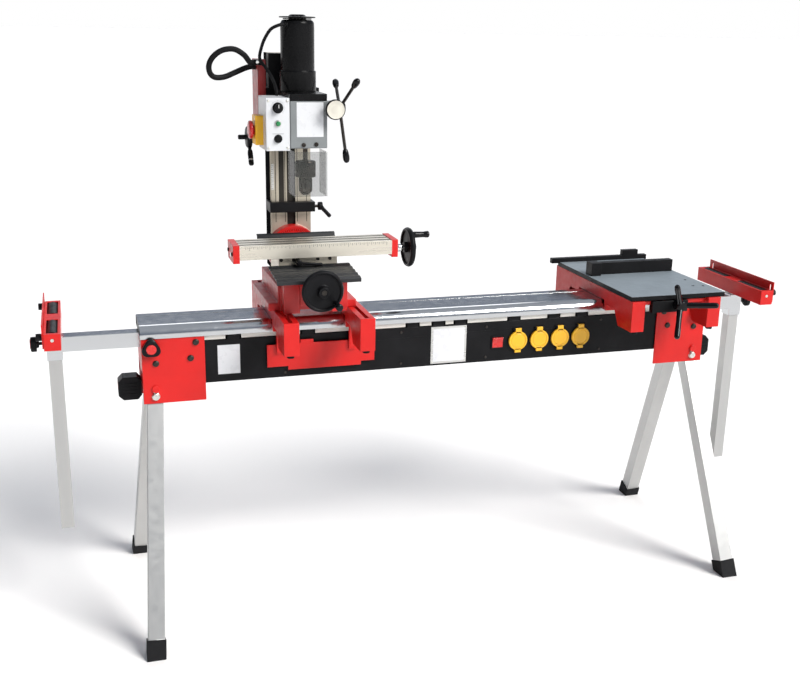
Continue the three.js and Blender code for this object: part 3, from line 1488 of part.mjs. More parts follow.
// The origin is under the middle of the whole machine, on the floor
const group = new THREE.Group();
group.add(stand);
group.updateMatrixWorld(true);
const extent = new THREE.Box3().setFromObject(group, true);
const centre = extent.getCenter(new THREE.Vector3());
stand.position.set(-centre.x, -centre.y, -extent.min.z);
console.log('shift', stand.position.toArray().map((v) => v.toFixed(3)).join(' '));

export default group;
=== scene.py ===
import json
import math

import bmesh
import bpy
from mathutils import Matrix, Vector


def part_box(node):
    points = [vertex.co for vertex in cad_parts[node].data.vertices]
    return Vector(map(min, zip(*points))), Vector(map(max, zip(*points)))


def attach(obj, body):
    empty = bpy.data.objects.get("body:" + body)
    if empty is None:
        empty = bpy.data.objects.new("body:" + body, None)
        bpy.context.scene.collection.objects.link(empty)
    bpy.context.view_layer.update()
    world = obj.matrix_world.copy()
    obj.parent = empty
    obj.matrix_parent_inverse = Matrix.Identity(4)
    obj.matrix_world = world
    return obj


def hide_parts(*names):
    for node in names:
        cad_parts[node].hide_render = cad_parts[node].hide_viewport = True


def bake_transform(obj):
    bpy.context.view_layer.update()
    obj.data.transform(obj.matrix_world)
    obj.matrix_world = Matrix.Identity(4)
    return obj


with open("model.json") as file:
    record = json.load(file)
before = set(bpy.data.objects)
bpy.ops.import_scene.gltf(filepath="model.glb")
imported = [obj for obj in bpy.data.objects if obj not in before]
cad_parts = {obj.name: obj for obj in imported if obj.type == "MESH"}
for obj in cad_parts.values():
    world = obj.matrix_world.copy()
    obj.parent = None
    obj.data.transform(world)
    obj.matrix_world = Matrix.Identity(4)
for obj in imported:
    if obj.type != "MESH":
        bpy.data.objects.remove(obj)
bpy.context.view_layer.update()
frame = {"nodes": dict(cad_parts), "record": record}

MM = 0.001
LEFT = Vector((-1, 0, 0))
RIGHT = Vector((1, 0, 0))
FRONT = Vector((0, -1, 0))
BACK = Vector((0, 1, 0))
UP = Vector((0, 0, 1))
SIDES = ((-1, "left"), (1, "right"))
rail_low, rail_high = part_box("beam_rail")
STAND = Vector(((rail_low.x + rail_high.x) / 2, (rail_low.y + rail_high.y) / 2, 0.0))
MILL = STAND + Vector((-366.0, 0.0, 808.3)) * MM
BODY_OF = {node: body for body, nodes in frame["record"]["behaviour"]["bodies"].items() for node in nodes}


# Camera, at the photograph's viewing angle
CAMERA_PLACE = Vector((-919.49, -2654.01, 1489.89))
CAMERA_YAW = math.radians(17.13)
CAMERA_PITCH = math.radians(16.39)
CAMERA_ROLL = math.radians(1.05)
CAMERA_LENS = 48.15
CAMERA_SENSOR = 36.0
CAMERA_NEAR = 0.05
CAMERA_FAR = 3000


def make_camera():
    forward = Vector((math.sin(CAMERA_YAW) * math.cos(CAMERA_PITCH),
            math.cos(CAMERA_YAW) * math.cos(CAMERA_PITCH), -math.sin(CAMERA_PITCH)))
    level = Vector((math.cos(CAMERA_YAW), -math.sin(CAMERA_YAW), 0))
    lift = level.cross(forward)
    right = level * math.cos(CAMERA_ROLL) + lift * math.sin(CAMERA_ROLL)
    up = lift * math.cos(CAMERA_ROLL) - level * math.sin(CAMERA_ROLL)
    data = bpy.data.cameras.new("camera")
    data.sensor_fit = "HORIZONTAL"
    data.sensor_width = CAMERA_SENSOR
    data.lens = CAMERA_LENS
    data.clip_start = CAMERA_NEAR
    data.clip_end = CAMERA_FAR
    camera = bpy.data.objects.new("camera", data)
    place = STAND + CAMERA_PLACE * MM
    turn = Matrix((right, up, -forward)).transposed().to_4x4()
    camera.matrix_world = Matrix.Translation(place) @ turn
    bpy.context.scene.collection.objects.link(camera)
    bpy.context.scene.camera = camera


make_camera()


# Materials
MIX_FACTOR, MIX_A, MIX_B, MIX_RESULT = 0, 6, 7, 2
TONE_NOISE = (0.32, 0.70)     # noise between the darkest and the lightest tone
ROUGH_NOISE = (0.3, 0.7)
ROUGH_SCALE = 60.0
ROUGH_LEAST = 0.03
SPECK_NOISE = (0.60, 0.68)
SPECK_SCALE = 420.0
NODE_STEP = 200
EVEN = (1, 1, 1)
ALONG = (0.04, 1, 1)      # streaks along X
DOWN = (1, 1, 0.05)       # streaks along Z
TURNED = (1, 1, 8)        # rings about Z


def node(tree, kind, values=None, **settings):
    """A node with its settings, and with the values of its free sockets."""
    made = tree.nodes.new(kind)
    made.location.x = -NODE_STEP * len(tree.nodes)
    for key, value in settings.items():
        setattr(made, key, value)
    for key, value in (values or {}).items():
        made.inputs[key].default_value = value
    return made


def remap(tree, value, source, target, **settings):
    """Takes one range of values to another."""
    values = {"From Min": source[0], "From Max": source[1], "To Min": target[0], "To Max": target[1]}
    made = node(tree, "ShaderNodeMapRange", values, **settings)
    tree.links.new(value, made.inputs["Value"])
    return made.outputs["Result"]


def set_stops(ramp, stops):
    """Gives a ramp its stops, each a place and a colour."""
    elements = ramp.color_ramp.elements
    for i, (place, colour) in enumerate(stops):
        stop = elements[i] if i < len(elements) else elements.new(place)
        stop.position = place
        stop.color = list(colour) + [1]


def surface(name, colour, rough, metal=0.0, tone=0.10, patches=14.0, stretch=EVEN, spread=0.08, bump=0.12,
        grain=900.0, bump_stretch=None, depth=0.0002, coat=0.0, coat_rough=0.15, alpha=1.0, gloss=0.5,
        specks=0.0, speck_colour=(0, 0, 0)):
    """A material whose tone, roughness and fine relief all vary.
    Patches and grain are how close the changes of tone and of relief lie."""
    made = bpy.data.materials.new(name)
    made.use_nodes = True
    tree = made.node_tree
    tree.nodes.clear()
    link = tree.links.new
    out = node(tree, "ShaderNodeOutputMaterial")
    shader = node(tree, "ShaderNodeBsdfPrincipled",
            {"Metallic": metal, "Coat Weight": coat, "Coat Roughness": coat_rough, "Alpha": alpha,
            "Specular IOR Level": gloss})
    link(shader.outputs["BSDF"], out.inputs["Surface"])
    place = node(tree, "ShaderNodeTexCoord")

    def noise(scales, scale, detail):
        turn = node(tree, "ShaderNodeMapping", {"Scale": scales})
        link(place.outputs["Object"], turn.inputs["Vector"])
        made_noise = node(tree, "ShaderNodeTexNoise", {"Scale": scale, "Detail": detail})
        link(turn.outputs["Vector"], made_noise.inputs["Vector"])
        return made_noise.outputs["Fac"]

    ramp = node(tree, "ShaderNodeValToRGB")
    dark, light = [v * (1 - tone) for v in colour], [min(1.0, v * (1 + tone)) for v in colour]
    set_stops(ramp, zip(TONE_NOISE, (dark, light)))
    link(noise(stretch, patches, 5.0), ramp.inputs["Fac"])
    colour_out = ramp.outputs["Color"]
    if specks:
        share = remap(tree, noise(EVEN, SPECK_SCALE, 3.0), SPECK_NOISE, (0.0, specks))
        mixed = node(tree, "ShaderNodeMix", data_type="RGBA")
        mixed.inputs[MIX_B].default_value = list(speck_colour) + [1]
        link(share, mixed.inputs[MIX_FACTOR])
        link(colour_out, mixed.inputs[MIX_A])
        colour_out = mixed.outputs[MIX_RESULT]
    link(colour_out, shader.inputs["Base Color"])
    roughness = (max(ROUGH_LEAST, rough - spread), min(1.0, rough + spread))
    fine = noise(bump_stretch or stretch, ROUGH_SCALE, 4.0)
    link(remap(tree, fine, ROUGH_NOISE, roughness), shader.inputs["Roughness"])
    relief = node(tree, "ShaderNodeBump", {"Strength": bump, "Distance": depth})
    link(noise(bump_stretch or stretch, grain, 4.0), relief.inputs["Height"])
    link(relief.outputs["Normal"], shader.inputs["Normal"])
    return made


LOOKS = {
    "red": surface("red_powder", (0.6, 0.007, 0.005), 0.4, tone=0.06, bump=0.16, grain=1400, gloss=0.35,
        coat=0.1),
    "cast_red": surface("red_cast", (0.52, 0.006, 0.005), 0.42, tone=0.14, patches=22, bump=0.45, grain=420,
        depth=0.0005, coat=0.2),
    # A darker copy of the red paint: painted shade for the rear enclosure.
    "red_painted_shade": surface("red_shade", (0.33, 0.01, 0.01), 0.42, tone=0.12, bump=0.22, grain=1400, coat=0.2),
    "aluminium": surface("aluminium_extruded", (0.6, 0.61, 0.62), 0.16, metal=1.0, tone=0.02, patches=30,
        stretch=ALONG, bump_stretch=EVEN, spread=0.03, bump=0.0),
    # leg_metal: partly the tube's own rougher finish, partly painted shade: its colour is darkened below the
    # rail's aluminium to stand in for the dark reflections on the legs.
    "leg_metal": surface("aluminium_tube", (0.52, 0.52, 0.51), 0.38, metal=0.9, tone=0.03, patches=30,
        stretch=DOWN, bump_stretch=EVEN, spread=0.03, bump=0.0),
    # lip: a pale matte strip, painted light that stands in for the sunlit tube seen through the gap under the
    # rail
    "lip": surface("painted_light_strip", (0.8, 0.78, 0.72), 0.5, tone=0.03, spread=0.03, bump=0.0),
    "pleat": surface("cover_rubber", (0.016, 0.017, 0.019), 0.4, tone=0.2, bump=0.1, gloss=0.35),
    "dark_steel": surface("steel_blued", (0.1, 0.085, 0.072), 0.16, metal=1.0, spread=0.05, bump=0.0),
    "black_paint": surface("black_powder", (0.0075, 0.0075, 0.0085), 0.4, tone=0.3, bump=0.16, grain=1200,
        gloss=0.13),
    # matt_black_and_shade: real black paint on the column's rear, and painted shade on the front of its left
    # face
    "matt_black_and_shade": surface("black_matt_and_shade", (0.01, 0.01, 0.011), 0.6, tone=0.2, bump=0.1, gloss=0.0),
    "black_satin": surface("black_enamel", (0.005, 0.005, 0.0055), 0.27, tone=0.3, bump=0.03, grain=500,
        gloss=0.14),
    "black_plastic": surface("black_moulded", (0.0065, 0.0065, 0.0075), 0.38, tone=0.25, bump=0.15,
        grain=1600, gloss=0.13),
    "black_gloss": surface("black_bakelite", (0.004, 0.004, 0.005), 0.17, tone=0.2, bump=0.04, grain=600,
        gloss=0.2, coat=0.08, coat_rough=0.06),
    "rubber": surface("rubber", (0.01, 0.01, 0.011), 0.62, tone=0.3, bump=0.3, grain=800, gloss=0.13),
    "steel": surface("steel_turned", (0.46, 0.43, 0.39), 0.2, metal=1.0, patches=40, stretch=TURNED, bump=0.3,
        grain=160, depth=0.00004),
    "chrome": surface("chrome", (0.8, 0.8, 0.79), 0.1, metal=1.0, tone=0.04, bump=0.06, grain=300),
    "zinc": surface("zinc_plate", (0.72, 0.71, 0.66), 0.28, metal=1.0, tone=0.12, patches=120, bump=0.2,
        grain=600),
    "bolt": surface("bolt_dark", (0.045, 0.04, 0.036), 0.36, metal=0.8, tone=0.25, patches=150, bump=0.2),
    "cream_steel": surface("machined_cream", (0.66, 0.6, 0.49), 0.36, metal=0.55, patches=35, stretch=ALONG,
        bump=0.35, grain=500, depth=0.0001, specks=0.25, speck_colour=(0.3, 0.26, 0.2)),
    "table_steel": surface("machined_table", (0.68, 0.64, 0.55), 0.3, metal=0.7, tone=0.09, patches=30,
        stretch=ALONG, bump=0.35, grain=520, depth=0.0001),
    "iron": surface("machined_iron", (0.52, 0.47, 0.38), 0.38, metal=0.6, tone=0.16, patches=24, stretch=DOWN,
        bump=0.4, grain=450, depth=0.00012, specks=0.3, speck_colour=(0.22, 0.19, 0.15)),
    "grey": surface("grey_hammered", (0.2, 0.215, 0.22), 0.42, patches=16, bump=0.4, grain=380, depth=0.0004,
        coat=0.15),
    "bracket_grey": surface("bracket_grey", (0.085, 0.09, 0.1), 0.45, bump=0.2, grain=700, gloss=0.4),
    "white": surface("white_powder", (0.66, 0.67, 0.69), 0.38, tone=0.04, bump=0.2, grain=1300, coat=0.2),
    "label": surface("bare_label", (0.7, 0.71, 0.73), 0.3, tone=0.03, bump=0.04, grain=300, coat=0.4),
    "silver": surface("brushed_plate", (0.62, 0.62, 0.6), 0.3, metal=0.7, tone=0.08, patches=40,
        stretch=ALONG, bump=0.15, grain=800),
    "yellow": surface("yellow_moulded", (0.86, 0.46, 0.015), 0.36, tone=0.06, grain=1300, coat=0.2),
    # housing: a lighter copy of the yellow, painted light on the left-facing switch housing, which the lamps
    # leave in shade
    "housing": surface("yellow_painted_light", (0.95, 0.5, 0.008), 0.38, tone=0.06, bump=0.15, grain=1200),
    "button": surface("red_moulded", (0.58, 0.012, 0.01), 0.26, tone=0.06, bump=0.06, coat=0.4),
    "lamp": surface("green_lens", (0.008, 0.2, 0.055), 0.18, tone=0.2, patches=90, bump=0.05, coat=0.6),
    "white_mark": surface("white_mark", (0.78, 0.78, 0.76), 0.45, tone=0.05, bump=0.05, grain=700),
    "dark_mark": surface("dark_mark", (0.05, 0.05, 0.05), 0.5, bump=0.05, grain=700),
    "grey_mark": surface("grey_mark", (0.3, 0.31, 0.33), 0.45, tone=0.06, bump=0.05, grain=700),
    "cream": surface("cream_moulded", (0.7, 0.67, 0.58), 0.36, tone=0.06, bump=0.1, coat=0.2),
    "plate": surface("plate_painted", (0.25, 0.29, 0.32), 0.42, tone=0.06, patches=18, bump=0.2, grain=700,
        gloss=0.35),
    "scale": surface("scale_strip", (0.74, 0.74, 0.71), 0.35, tone=0.04, bump=0.06, grain=700),
    "clear": surface("smoky_clear", (0.07, 0.075, 0.07), 0.07, spread=0.03, tone=0.06, bump=0.03, grain=260,
        alpha=0.3),
    "groove": surface("groove_dark", (0.03, 0.027, 0.022), 0.5, metal=0.3, tone=0.2, bump=0.2, gloss=0.3),
    "floor": surface("floor", (0.97, 0.955, 0.94), 0.95, spread=0.02, tone=0.01, patches=2, bump=0.01,
        grain=60),
}


# Mesh helpers
LEAST_ROUND = 1e-4
NEARLY_STRAIGHT = math.radians(172)
AT_AXIS = 1e-6


def bend(points, radius, closed=False, steps=3):
    """Rounds the corners of an outline or a turned profile."""
    count = len(points)
    rounded = []
    for i, point in enumerate(points):
        here = Vector(point)
        if not closed and i in (0, count - 1):
            rounded.append(here)
            continue
        to_before = Vector(points[(i - 1) % count]) - here
        to_after = Vector(points[(i + 1) % count]) - here
        reach = min(radius, to_before.length / 2.2, to_after.length / 2.2)
        if reach < LEAST_ROUND or to_before.angle(to_after, math.pi) > NEARLY_STRAIGHT:
            rounded.append(here)
            continue
        start = here + to_before.normalized() * reach
        end = here + to_after.normalized() * reach
        for j in range(steps + 1):
            t = j / steps
            rounded.append(start.lerp(here, t).lerp(here.lerp(end, t), t))
    return rounded


def around(count, plane="xy", start=0.0):
    """Directions spread evenly round a plane."""
    for i in range(count):
        angle = 2 * math.pi * i / count + start
        a, b = math.cos(angle), math.sin(angle)
        yield Vector((a, b, 0) if plane == "xy" else (a, 0, b))


class Shape:
    """Faces in millimetres, each with the number of its look."""

    def __init__(self):
        self.mesh = bmesh.new()

    def face(self, corners, look=0):
        if len(set(corners)) < 3:
            return
        try:
            self.mesh.faces.new(corners).material_index = look
        except ValueError:
            pass

    def skin(self, rings, look=0, caps=False):
        """Faces between rings of corners, and over the first and last ring."""
        steps = len(rings[0])
        for low, high in zip(rings, rings[1:]):
            for i in range(steps):
                j = (i + 1) % steps
                corners = []
                for corner in (low[i], low[j], high[j], high[i]):
                    if corner not in corners:
                        corners.append(corner)
                self.face(corners, look)
        if caps:
            self.face(list(reversed(rings[0])), look)
            self.face(rings[-1], look)

    def ring(self, origin, direction, radii, height):
        """Corners round an axis, one for each radius."""
        turn = UP.rotation_difference(Vector(direction).normalized()).to_matrix()
        steps = len(radii)
        made = []
        for i, radius in enumerate(radii):
            angle = 2 * math.pi * i / steps
            spot = Vector((radius * math.cos(angle), radius * math.sin(angle), height))
            made.append(self.mesh.verts.new(Vector(origin) + turn @ spot))
        return made

    def lathe(self, profile, at, direction, look=0, steps=64, soft=0.0):
        """Turns a profile of radius and height pairs about an axis that leaves the given point."""
        rings = []
        for radius, height in bend(profile, soft) if soft else [Vector(p) for p in profile]:
            at_axis = radius < AT_AXIS
            made = self.ring(at, direction, [radius] * (1 if at_axis else steps), height)
            rings.append(made * steps if at_axis else made)
        self.skin(rings, look)

    def lobes(self, at, direction, radius, count, base, thick, look=0, dip=0.20, steps=96):
        """A star knob's head: a wavy outline with a rounded rim."""
        waves = [1 - dip * (0.5 - 0.5 * math.cos(count * (2 * math.pi * i / steps - math.pi / 2)))
                for i in range(steps)]
        top = base + thick
        levels = ((0.90, base), (0.99, base + 1.2), (1.0, base + 3), (1.0, top - 3), (0.97, top - 1.2),
                (0.88, top))
        rings = [self.ring(at, direction, [radius * share * wave for wave in waves], height)
                for share, height in levels]
        self.skin(rings, look, True)

    def bar(self, radius, low, high, at, direction, look=0, steps=32, soft=0.0):
        """A round bar between two heights on an axis."""
        self.lathe([(0, low), (radius, low), (radius, high), (0, high)], at, direction, look, steps, soft)

    def rod(self, radius, start, end, look=0, steps=32):
        """A round bar between two points."""
        run = Vector(end) - Vector(start)
        self.bar(radius, 0, run.length, start, run, look, steps)

    def screw(self, at, direction, radius, edge, height, socket, floor, look=0, root=1.0, soft=0.3):
        """A round screw head with a socket."""
        profile = [(0, -root), (radius, -root), (radius, edge), (radius - 1, height), (socket, height),
                (socket, floor), (0, floor)]
        self.lathe(profile, at, direction, look, 32, soft)

    def tick(self, middle, angle, inner, outer, half, look=0):
        """A flat radial mark that faces the front."""
        out = Vector((math.cos(angle), 0, math.sin(angle)))
        side = Vector((out.z, 0, -out.x)) * half
        corners = [out * inner - side, out * inner + side, out * outer + side, out * outer - side]
        self.face([self.mesh.verts.new(Vector(middle) + corner) for corner in corners], look)

    def prism(self, outline, low, high, look=0, soft=0.0, steps=3):
        """Draws an outline of X and Y upwards."""
        points = bend(outline, soft, True, steps) if soft else [Vector(p) for p in outline]
        ends = [[self.mesh.verts.new((p[0], p[1], level)) for p in points] for level in (low, high)]
        self.face(list(reversed(ends[0])), look)
        self.face(ends[1], look)
        for i in range(len(points)):
            j = (i + 1) % len(points)
            self.face([ends[0][i], ends[0][j], ends[1][j], ends[1][i]], look)

    def box(self, x0, x1, y0, y1, z0, z1, look=0, soft=0.0):
        self.prism([(x0, y0), (x1, y0), (x1, y1), (x0, y1)], z0, z1, look, soft)

    def sweep(self, path, radius, look=0, sides=16, spans=8):
        """A round cable along a smooth curve through the given points."""
        spots = [Vector(p) for p in path]
        line = []
        for i in range(len(spots) - 1):
            a = spots[max(i - 1, 0)]
            b, c = spots[i], spots[i + 1]
            d = spots[min(i + 2, len(spots) - 1)]
            for j in range(spans):
                t = j / spans
                line.append(0.5 * (2 * b + (c - a) * t + (2 * a - 5 * b + 4 * c - d) * t * t
                        + (3 * b - a - 3 * c + d) * t ** 3))
        line.append(spots[-1])
        across = (line[1] - line[0]).orthogonal().normalized()
        rings = []
        for i, spot in enumerate(line):
            ahead = (line[min(i + 1, len(line) - 1)] - line[max(i - 1, 0)]).normalized()
            across = (across - ahead * across.dot(ahead)).normalized()
            side = ahead.cross(across)
            rings.append([self.mesh.verts.new(spot + across * (radius * math.cos(2 * math.pi * k / sides))
                    + side * (radius * math.sin(2 * math.pi * k / sides)))
                    for k in range(sides)])
        self.skin(rings, look, True)


def finish_mesh(name, mesh, looks, sharp=32.0):
    data = bpy.data.meshes.new(name)
    mesh.to_mesh(data)
    mesh.free()
    for look in looks:
        data.materials.append(LOOKS[look])
    data.shade_smooth()
    data.set_sharp_from_angle(angle=math.radians(sharp))
    made = bpy.data.objects.new(name, data)
    bpy.context.scene.collection.objects.link(made)
    return made


def add_bevel(made, width, segments=2, angle=35.0):
    bevel = made.modifiers.new("edges", "BEVEL")
    bevel.width = width * MM
    bevel.segments = segments
    bevel.limit_method = "ANGLE"
    bevel.angle_limit = math.radians(angle)
    bevel.use_clamp_overlap = False
    bevel.miter_outer = "MITER_ARC"
    normals = made.modifiers.new("normals", "WEIGHTED_NORMAL")
    normals.keep_sharp = True
    normals.weight = 80


def piece(name, shape, body, looks, origin=None, replaces=(), bevel=0.0):
    """Puts a shape in place, to ride on a body."""
    mesh = shape.mesh
    place = STAND if origin is None else origin
    bmesh.ops.transform(mesh, matrix=Matrix.Translation(place) @ Matrix.Scale(MM, 4), verts=mesh.verts)
    bmesh.ops.recalc_face_normals(mesh, faces=mesh.faces)
    made = finish_mesh(name, mesh, looks)
    if bevel:
        add_bevel(made, bevel)
    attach(made, body)
    if replaces:
        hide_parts(*replaces)


def instead(node_name, name, shape, looks, origin=None, bevel=0.0):
    """Puts a shape in the place of a node, on the node's body."""
    piece(name, shape, BODY_OF[node_name], looks, origin, (node_name,), bevel=bevel)


def dressed(name, looks, bevel=0.8, zone=None, segments=2, origin=None, blend=None, angle=35.0, cuts=(),
        sharp=32.0):
    """A node's own shape with rounded edges, and a look for each face by its middle and direction.
    Cuts are planes, each an axis and a place, where faces are parted so that their looks can differ."""
    source = frame["nodes"][name]
    mesh = bmesh.new()
    mesh.from_mesh(source.data)
    bmesh.ops.remove_doubles(mesh, verts=mesh.verts, dist=1e-5)
    place = STAND if origin is None else origin
    for axis, level in cuts:
        normal = Vector([float(axis == letter) for letter in "xyz"])
        bmesh.ops.bisect_plane(mesh, geom=mesh.verts[:] + mesh.edges[:] + mesh.faces[:], dist=1e-6,
                plane_co=place + normal * level * MM, plane_no=normal)
    mesh.normal_update()
    for face in mesh.faces:
        face.material_index = zone((face.calc_center_median() - place) / MM, face.normal) if zone else 0
    bmesh.ops.dissolve_limit(mesh, angle_limit=math.radians(0.8), verts=mesh.verts, edges=mesh.edges,
            delimit={"NORMAL", "MATERIAL"})
    mesh.normal_update()
    made = finish_mesh(name + "_shell", mesh, looks, sharp)
    if bevel:
        add_bevel(made, bevel, segments, angle)
    if blend:
        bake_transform(made)
    else:
        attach(made, BODY_OF[name])
    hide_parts(name)


# Stand: rail, power channel and brackets
CHANNEL_FRONT = -70
CHANNEL_SCREWS = (-640, -430, -120, 120, 460, 640)
CHANNEL_SCREW_LEVELS = (634, 719)
BEZEL_BARS = ((134.5, 138, 656, 692), (168, 171.5, 656, 692), (138, 168, 656, 660), (138, 168, 688, 692))
# Spans and levels of the pale strip in the gap under the rail: painted light for the sunlit tube behind it.
LIP_SPANS = ((-632, -580), (-540, -390), (-350, -108), (-68, -36), (4, 26), (66, 180), (220, 298), (338, 382),
        (422, 560), (600, 632))
LIP_LEVELS = (732.4, 742.4)


def make_rail():
    # The rail's end faces take black plastic: painted shade for the end faces and the hollow ends, which lie
    # in shadow.
    dressed("beam_rail", ["aluminium", "black_plastic"], 0.5, lambda c, n: int(abs(n.x) > 0.9))


def make_channel_plates():
    dressed("power_box", ["black_paint"], 0.6)
    back, front, raised = CHANNEL_FRONT + 0.2, CHANNEL_FRONT - 0.5, CHANNEL_FRONT - 0.8
    plates = Shape()
    plates.box(-601, -545, front, back, 641, 717, 0, 1.2)
    plates.box(-37, 63, front, back, 626, 728, 1, 3)
    plates.box(-31, 57, raised, CHANNEL_FRONT - 0.2, 632, 722, 0, 2)
    for z in (630, 724):
        for x in (-33, 59):
            plates.lathe([(1.9, 0), (1.9, 0.7), (0, 1.1)], (x, front, z), FRONT, 2, 20)
    piece("channel_plates", plates, "stand", ["label", "silver", "zinc"])


def make_rocker():
    bezel = Shape()
    for x0, x1, z0, z1 in BEZEL_BARS:
        bezel.box(x0, x1, CHANNEL_FRONT - 3, CHANNEL_FRONT + 0.5, z0, z1)
    piece("rocker_bezel", bezel, "stand", ["black_plastic"], bevel=0.6)
    dressed("rocker_switch", ["button"], 0.8)


def make_channel_screws():
    screws = Shape()
    head = [(0, -0.5), (3.6, -0.5), (3.6, 0.9), (2.6, 1.9), (0, 2.1)]
    for x in CHANNEL_SCREWS:
        for z in CHANNEL_SCREW_LEVELS:
            screws.lathe(head, (x, CHANNEL_FRONT, z), FRONT, 0, 24, 0.4)
    piece("channel_screws", screws, "stand", ["bolt"])


# A pale strip in the gap between the channel and the rail: painted light, standing in for the sunlit tube
# that shows through the gap.
def make_gap_light_strip():
    lip = Shape()
    for x0, x1 in LIP_SPANS:
        lip.box(x0, x1, CHANNEL_FRONT + 3, CHANNEL_FRONT + 5, *LIP_LEVELS)
    piece("rail_lip", lip, "stand", ["lip"])


LID_PLACES = (211, 274, 336, 398)
LID_BACK = -72.3
LID_MIDDLE = 676
LID_RADIUS = 26.5
LID_THICK = 6
LID_TAB = 8.5            # half width of the tabs above and below
LID_TOP = 711
LID_BOTTOM = 643
LID_PIN = 3.0
LID_PIN_LEVEL = 708


def make_lids():
    radius, thick, front = LID_RADIUS, LID_THICK, LID_BACK - LID_THICK
    face = [(0, 0), (radius, 0), (radius, thick - 0.6), (radius - 0.8, thick), (radius - 4.4, thick),
            (radius - 5.0, thick - 1.3), (radius - 7.2, thick - 1.3), (radius - 7.8, thick - 0.4),
            (0, thick - 0.4)]
    for i, x in enumerate(LID_PLACES, 1):
        lid = Shape()
        lid.lathe(face, (x, LID_BACK, LID_MIDDLE), FRONT, 0, 72, 0.5)
        for low, high in ((LID_MIDDLE + 20, LID_TOP), (LID_BOTTOM, LID_MIDDLE - 20)):
            lid.box(x - LID_TAB, x + LID_TAB, front, LID_BACK, low, high, 0, 0.8)
        lid.rod(LID_PIN, (x - LID_TAB, LID_BACK - LID_PIN, LID_PIN_LEVEL),
                (x + LID_TAB, LID_BACK - LID_PIN, LID_PIN_LEVEL), 0, 24)
        lid.box(x - 6, x + 6, front + 0.2, front + 1.2, 645, 648, 0, 0.4)
        instead(f"socket_lid_{i}", f"socket_lid_{i}_cap", lid, ["yellow"], bevel=0.5)


BRACKET_BOLTS = ((654.5, 731), (668.5, 690.5), (753.5, 682))
BRACKET_FACE = 75
PIVOT_X = 757
PIVOT_Z = 598
PIVOT_HEAD_Z = 596.5
BOLT_HEAD = ((0, 0.1), (8.2, 0.1), (8.2, 1.2), (7.2, 1.4), (7.2, 4.2), (5.6, 5.2), (3.3, 5.2), (3.3, 3.2),
        (0, 3.2))
PIVOT_HEAD = ((0, 0.1), (10.2, 0.1), (10.2, 1.3), (9.2, 1.6), (9.2, 5.0), (8.0, 6.4), (0, 6.6))


def near(c, x, z, reach):
    return (abs(c.x) - x) ** 2 + (c.z - z) ** 2 < reach ** 2


def bracket_zone(c, n):
    inner = abs(c.y) < 68
    if near(c, PIVOT_X, PIVOT_Z, 12) and (abs(c.y) > 75.1 or (inner and abs(n.x) < 0.99)):
        return 1
    bolt = any(near(c, x, z, 8) for x, z in BRACKET_BOLTS)
    return 2 if bolt and abs(abs(c.y) - 73.5) > 1.6 else 0


def make_brackets():
    for side, name in SIDES:
        dressed(f"end_bracket_{name}", ["red", "zinc", "bolt"], 0.7, bracket_zone)
        heads = Shape()
        for face in (-1, 1):
            y, out = face * BRACKET_FACE, BACK * face
            for x, z in BRACKET_BOLTS:
                heads.lathe(BOLT_HEAD, (side * x, y, z), out, 0, 36, 0.3)
            heads.lathe(PIVOT_HEAD, (side * PIVOT_X, y, PIVOT_HEAD_Z), out, 1, 40, 0.4)
        piece(f"bracket_bolts_{name}", heads, "stand", ["bolt", "zinc"])


BOOT_TOP = 50
RELEASE_ROD_END = 786
RELEASE_RIBS = (-14, -5, 4, 13)
RELEASE_LEVEL = 604
RELEASE_MARK = (844.8, 845.4)


def make_legs():
    for name in ("front_left", "rear_left", "front_right", "rear_right"):
        dressed(f"leg_{name}", ["leg_metal", "rubber"], 1.2, lambda c, n: int(c.z < BOOT_TOP))


def make_release_handles():
    for side, name in SIDES:
        dressed(f"release_handle_{name}", ["black_plastic", "zinc"], 1.6,
                lambda c, n: int(abs(c.x) < RELEASE_ROD_END))
        ribs = Shape()
        for face in (-1, 1):
            for level in RELEASE_RIBS:
                x0, x1 = sorted((side * 799, side * 838))
                y0, y1 = sorted((face * 21.8, face * 23))
                middle = RELEASE_LEVEL + level
                ribs.box(x0, x1, y0, y1, middle - 1.4, middle + 1.4)
        x0, x1 = sorted(side * x for x in RELEASE_MARK)
        ribs.box(x0, x1, -13, 13, RELEASE_LEVEL - 2, RELEASE_LEVEL + 12, 1)
        piece(f"release_handle_{name}_ribs", ribs, f"release_handle_{name}", ["black_plastic", "button"],
              bevel=0.5)


ROLLER_LEVEL = 782
ROLLER_AXLE = 162        # half its length
ROLLER_FROM, ROLLER_TO = 32, 146
ROLLER = ((0, ROLLER_FROM), (4, ROLLER_FROM - 0.5), (16.0, ROLLER_FROM), (16.2, ROLLER_FROM + 1.2),
        (16.2, ROLLER_TO - 1.2), (16.0, ROLLER_TO), (4, ROLLER_TO + 0.5), (0, ROLLER_TO))
SUPPORT_MIDDLES = {"left": -990, "right": 924}
HEAD_CAP_FROM = 19.3


def make_supports():
    for side, name in SIDES:
        middle = SUPPORT_MIDDLES[name]
        dressed(f"extension_tube_{name}", ["aluminium"], 0.8)
        dressed(f"support_post_{name}", ["leg_metal"], 0.8)
        dressed(f"support_head_{name}", ["red", "black_plastic"], 0.6,
                lambda c, n: int(side * (c.x - middle) > HEAD_CAP_FROM))
        dressed(f"stop_plate_{name}", ["red"], 0.5)
        rollers = Shape()
        at = (middle, 0, ROLLER_LEVEL)
        for end in (-1, 1):
            rollers.lathe(ROLLER, at, BACK * end, 0, 64, 0.5)
        rollers.bar(4, -ROLLER_AXLE, ROLLER_AXLE, at, BACK, 1)
        instead(f"rollers_{name}", f"rollers_{name}_pair", rollers, ["black_plastic", "zinc"])


STAR_LOBES = 3
STAR_THICK = 14


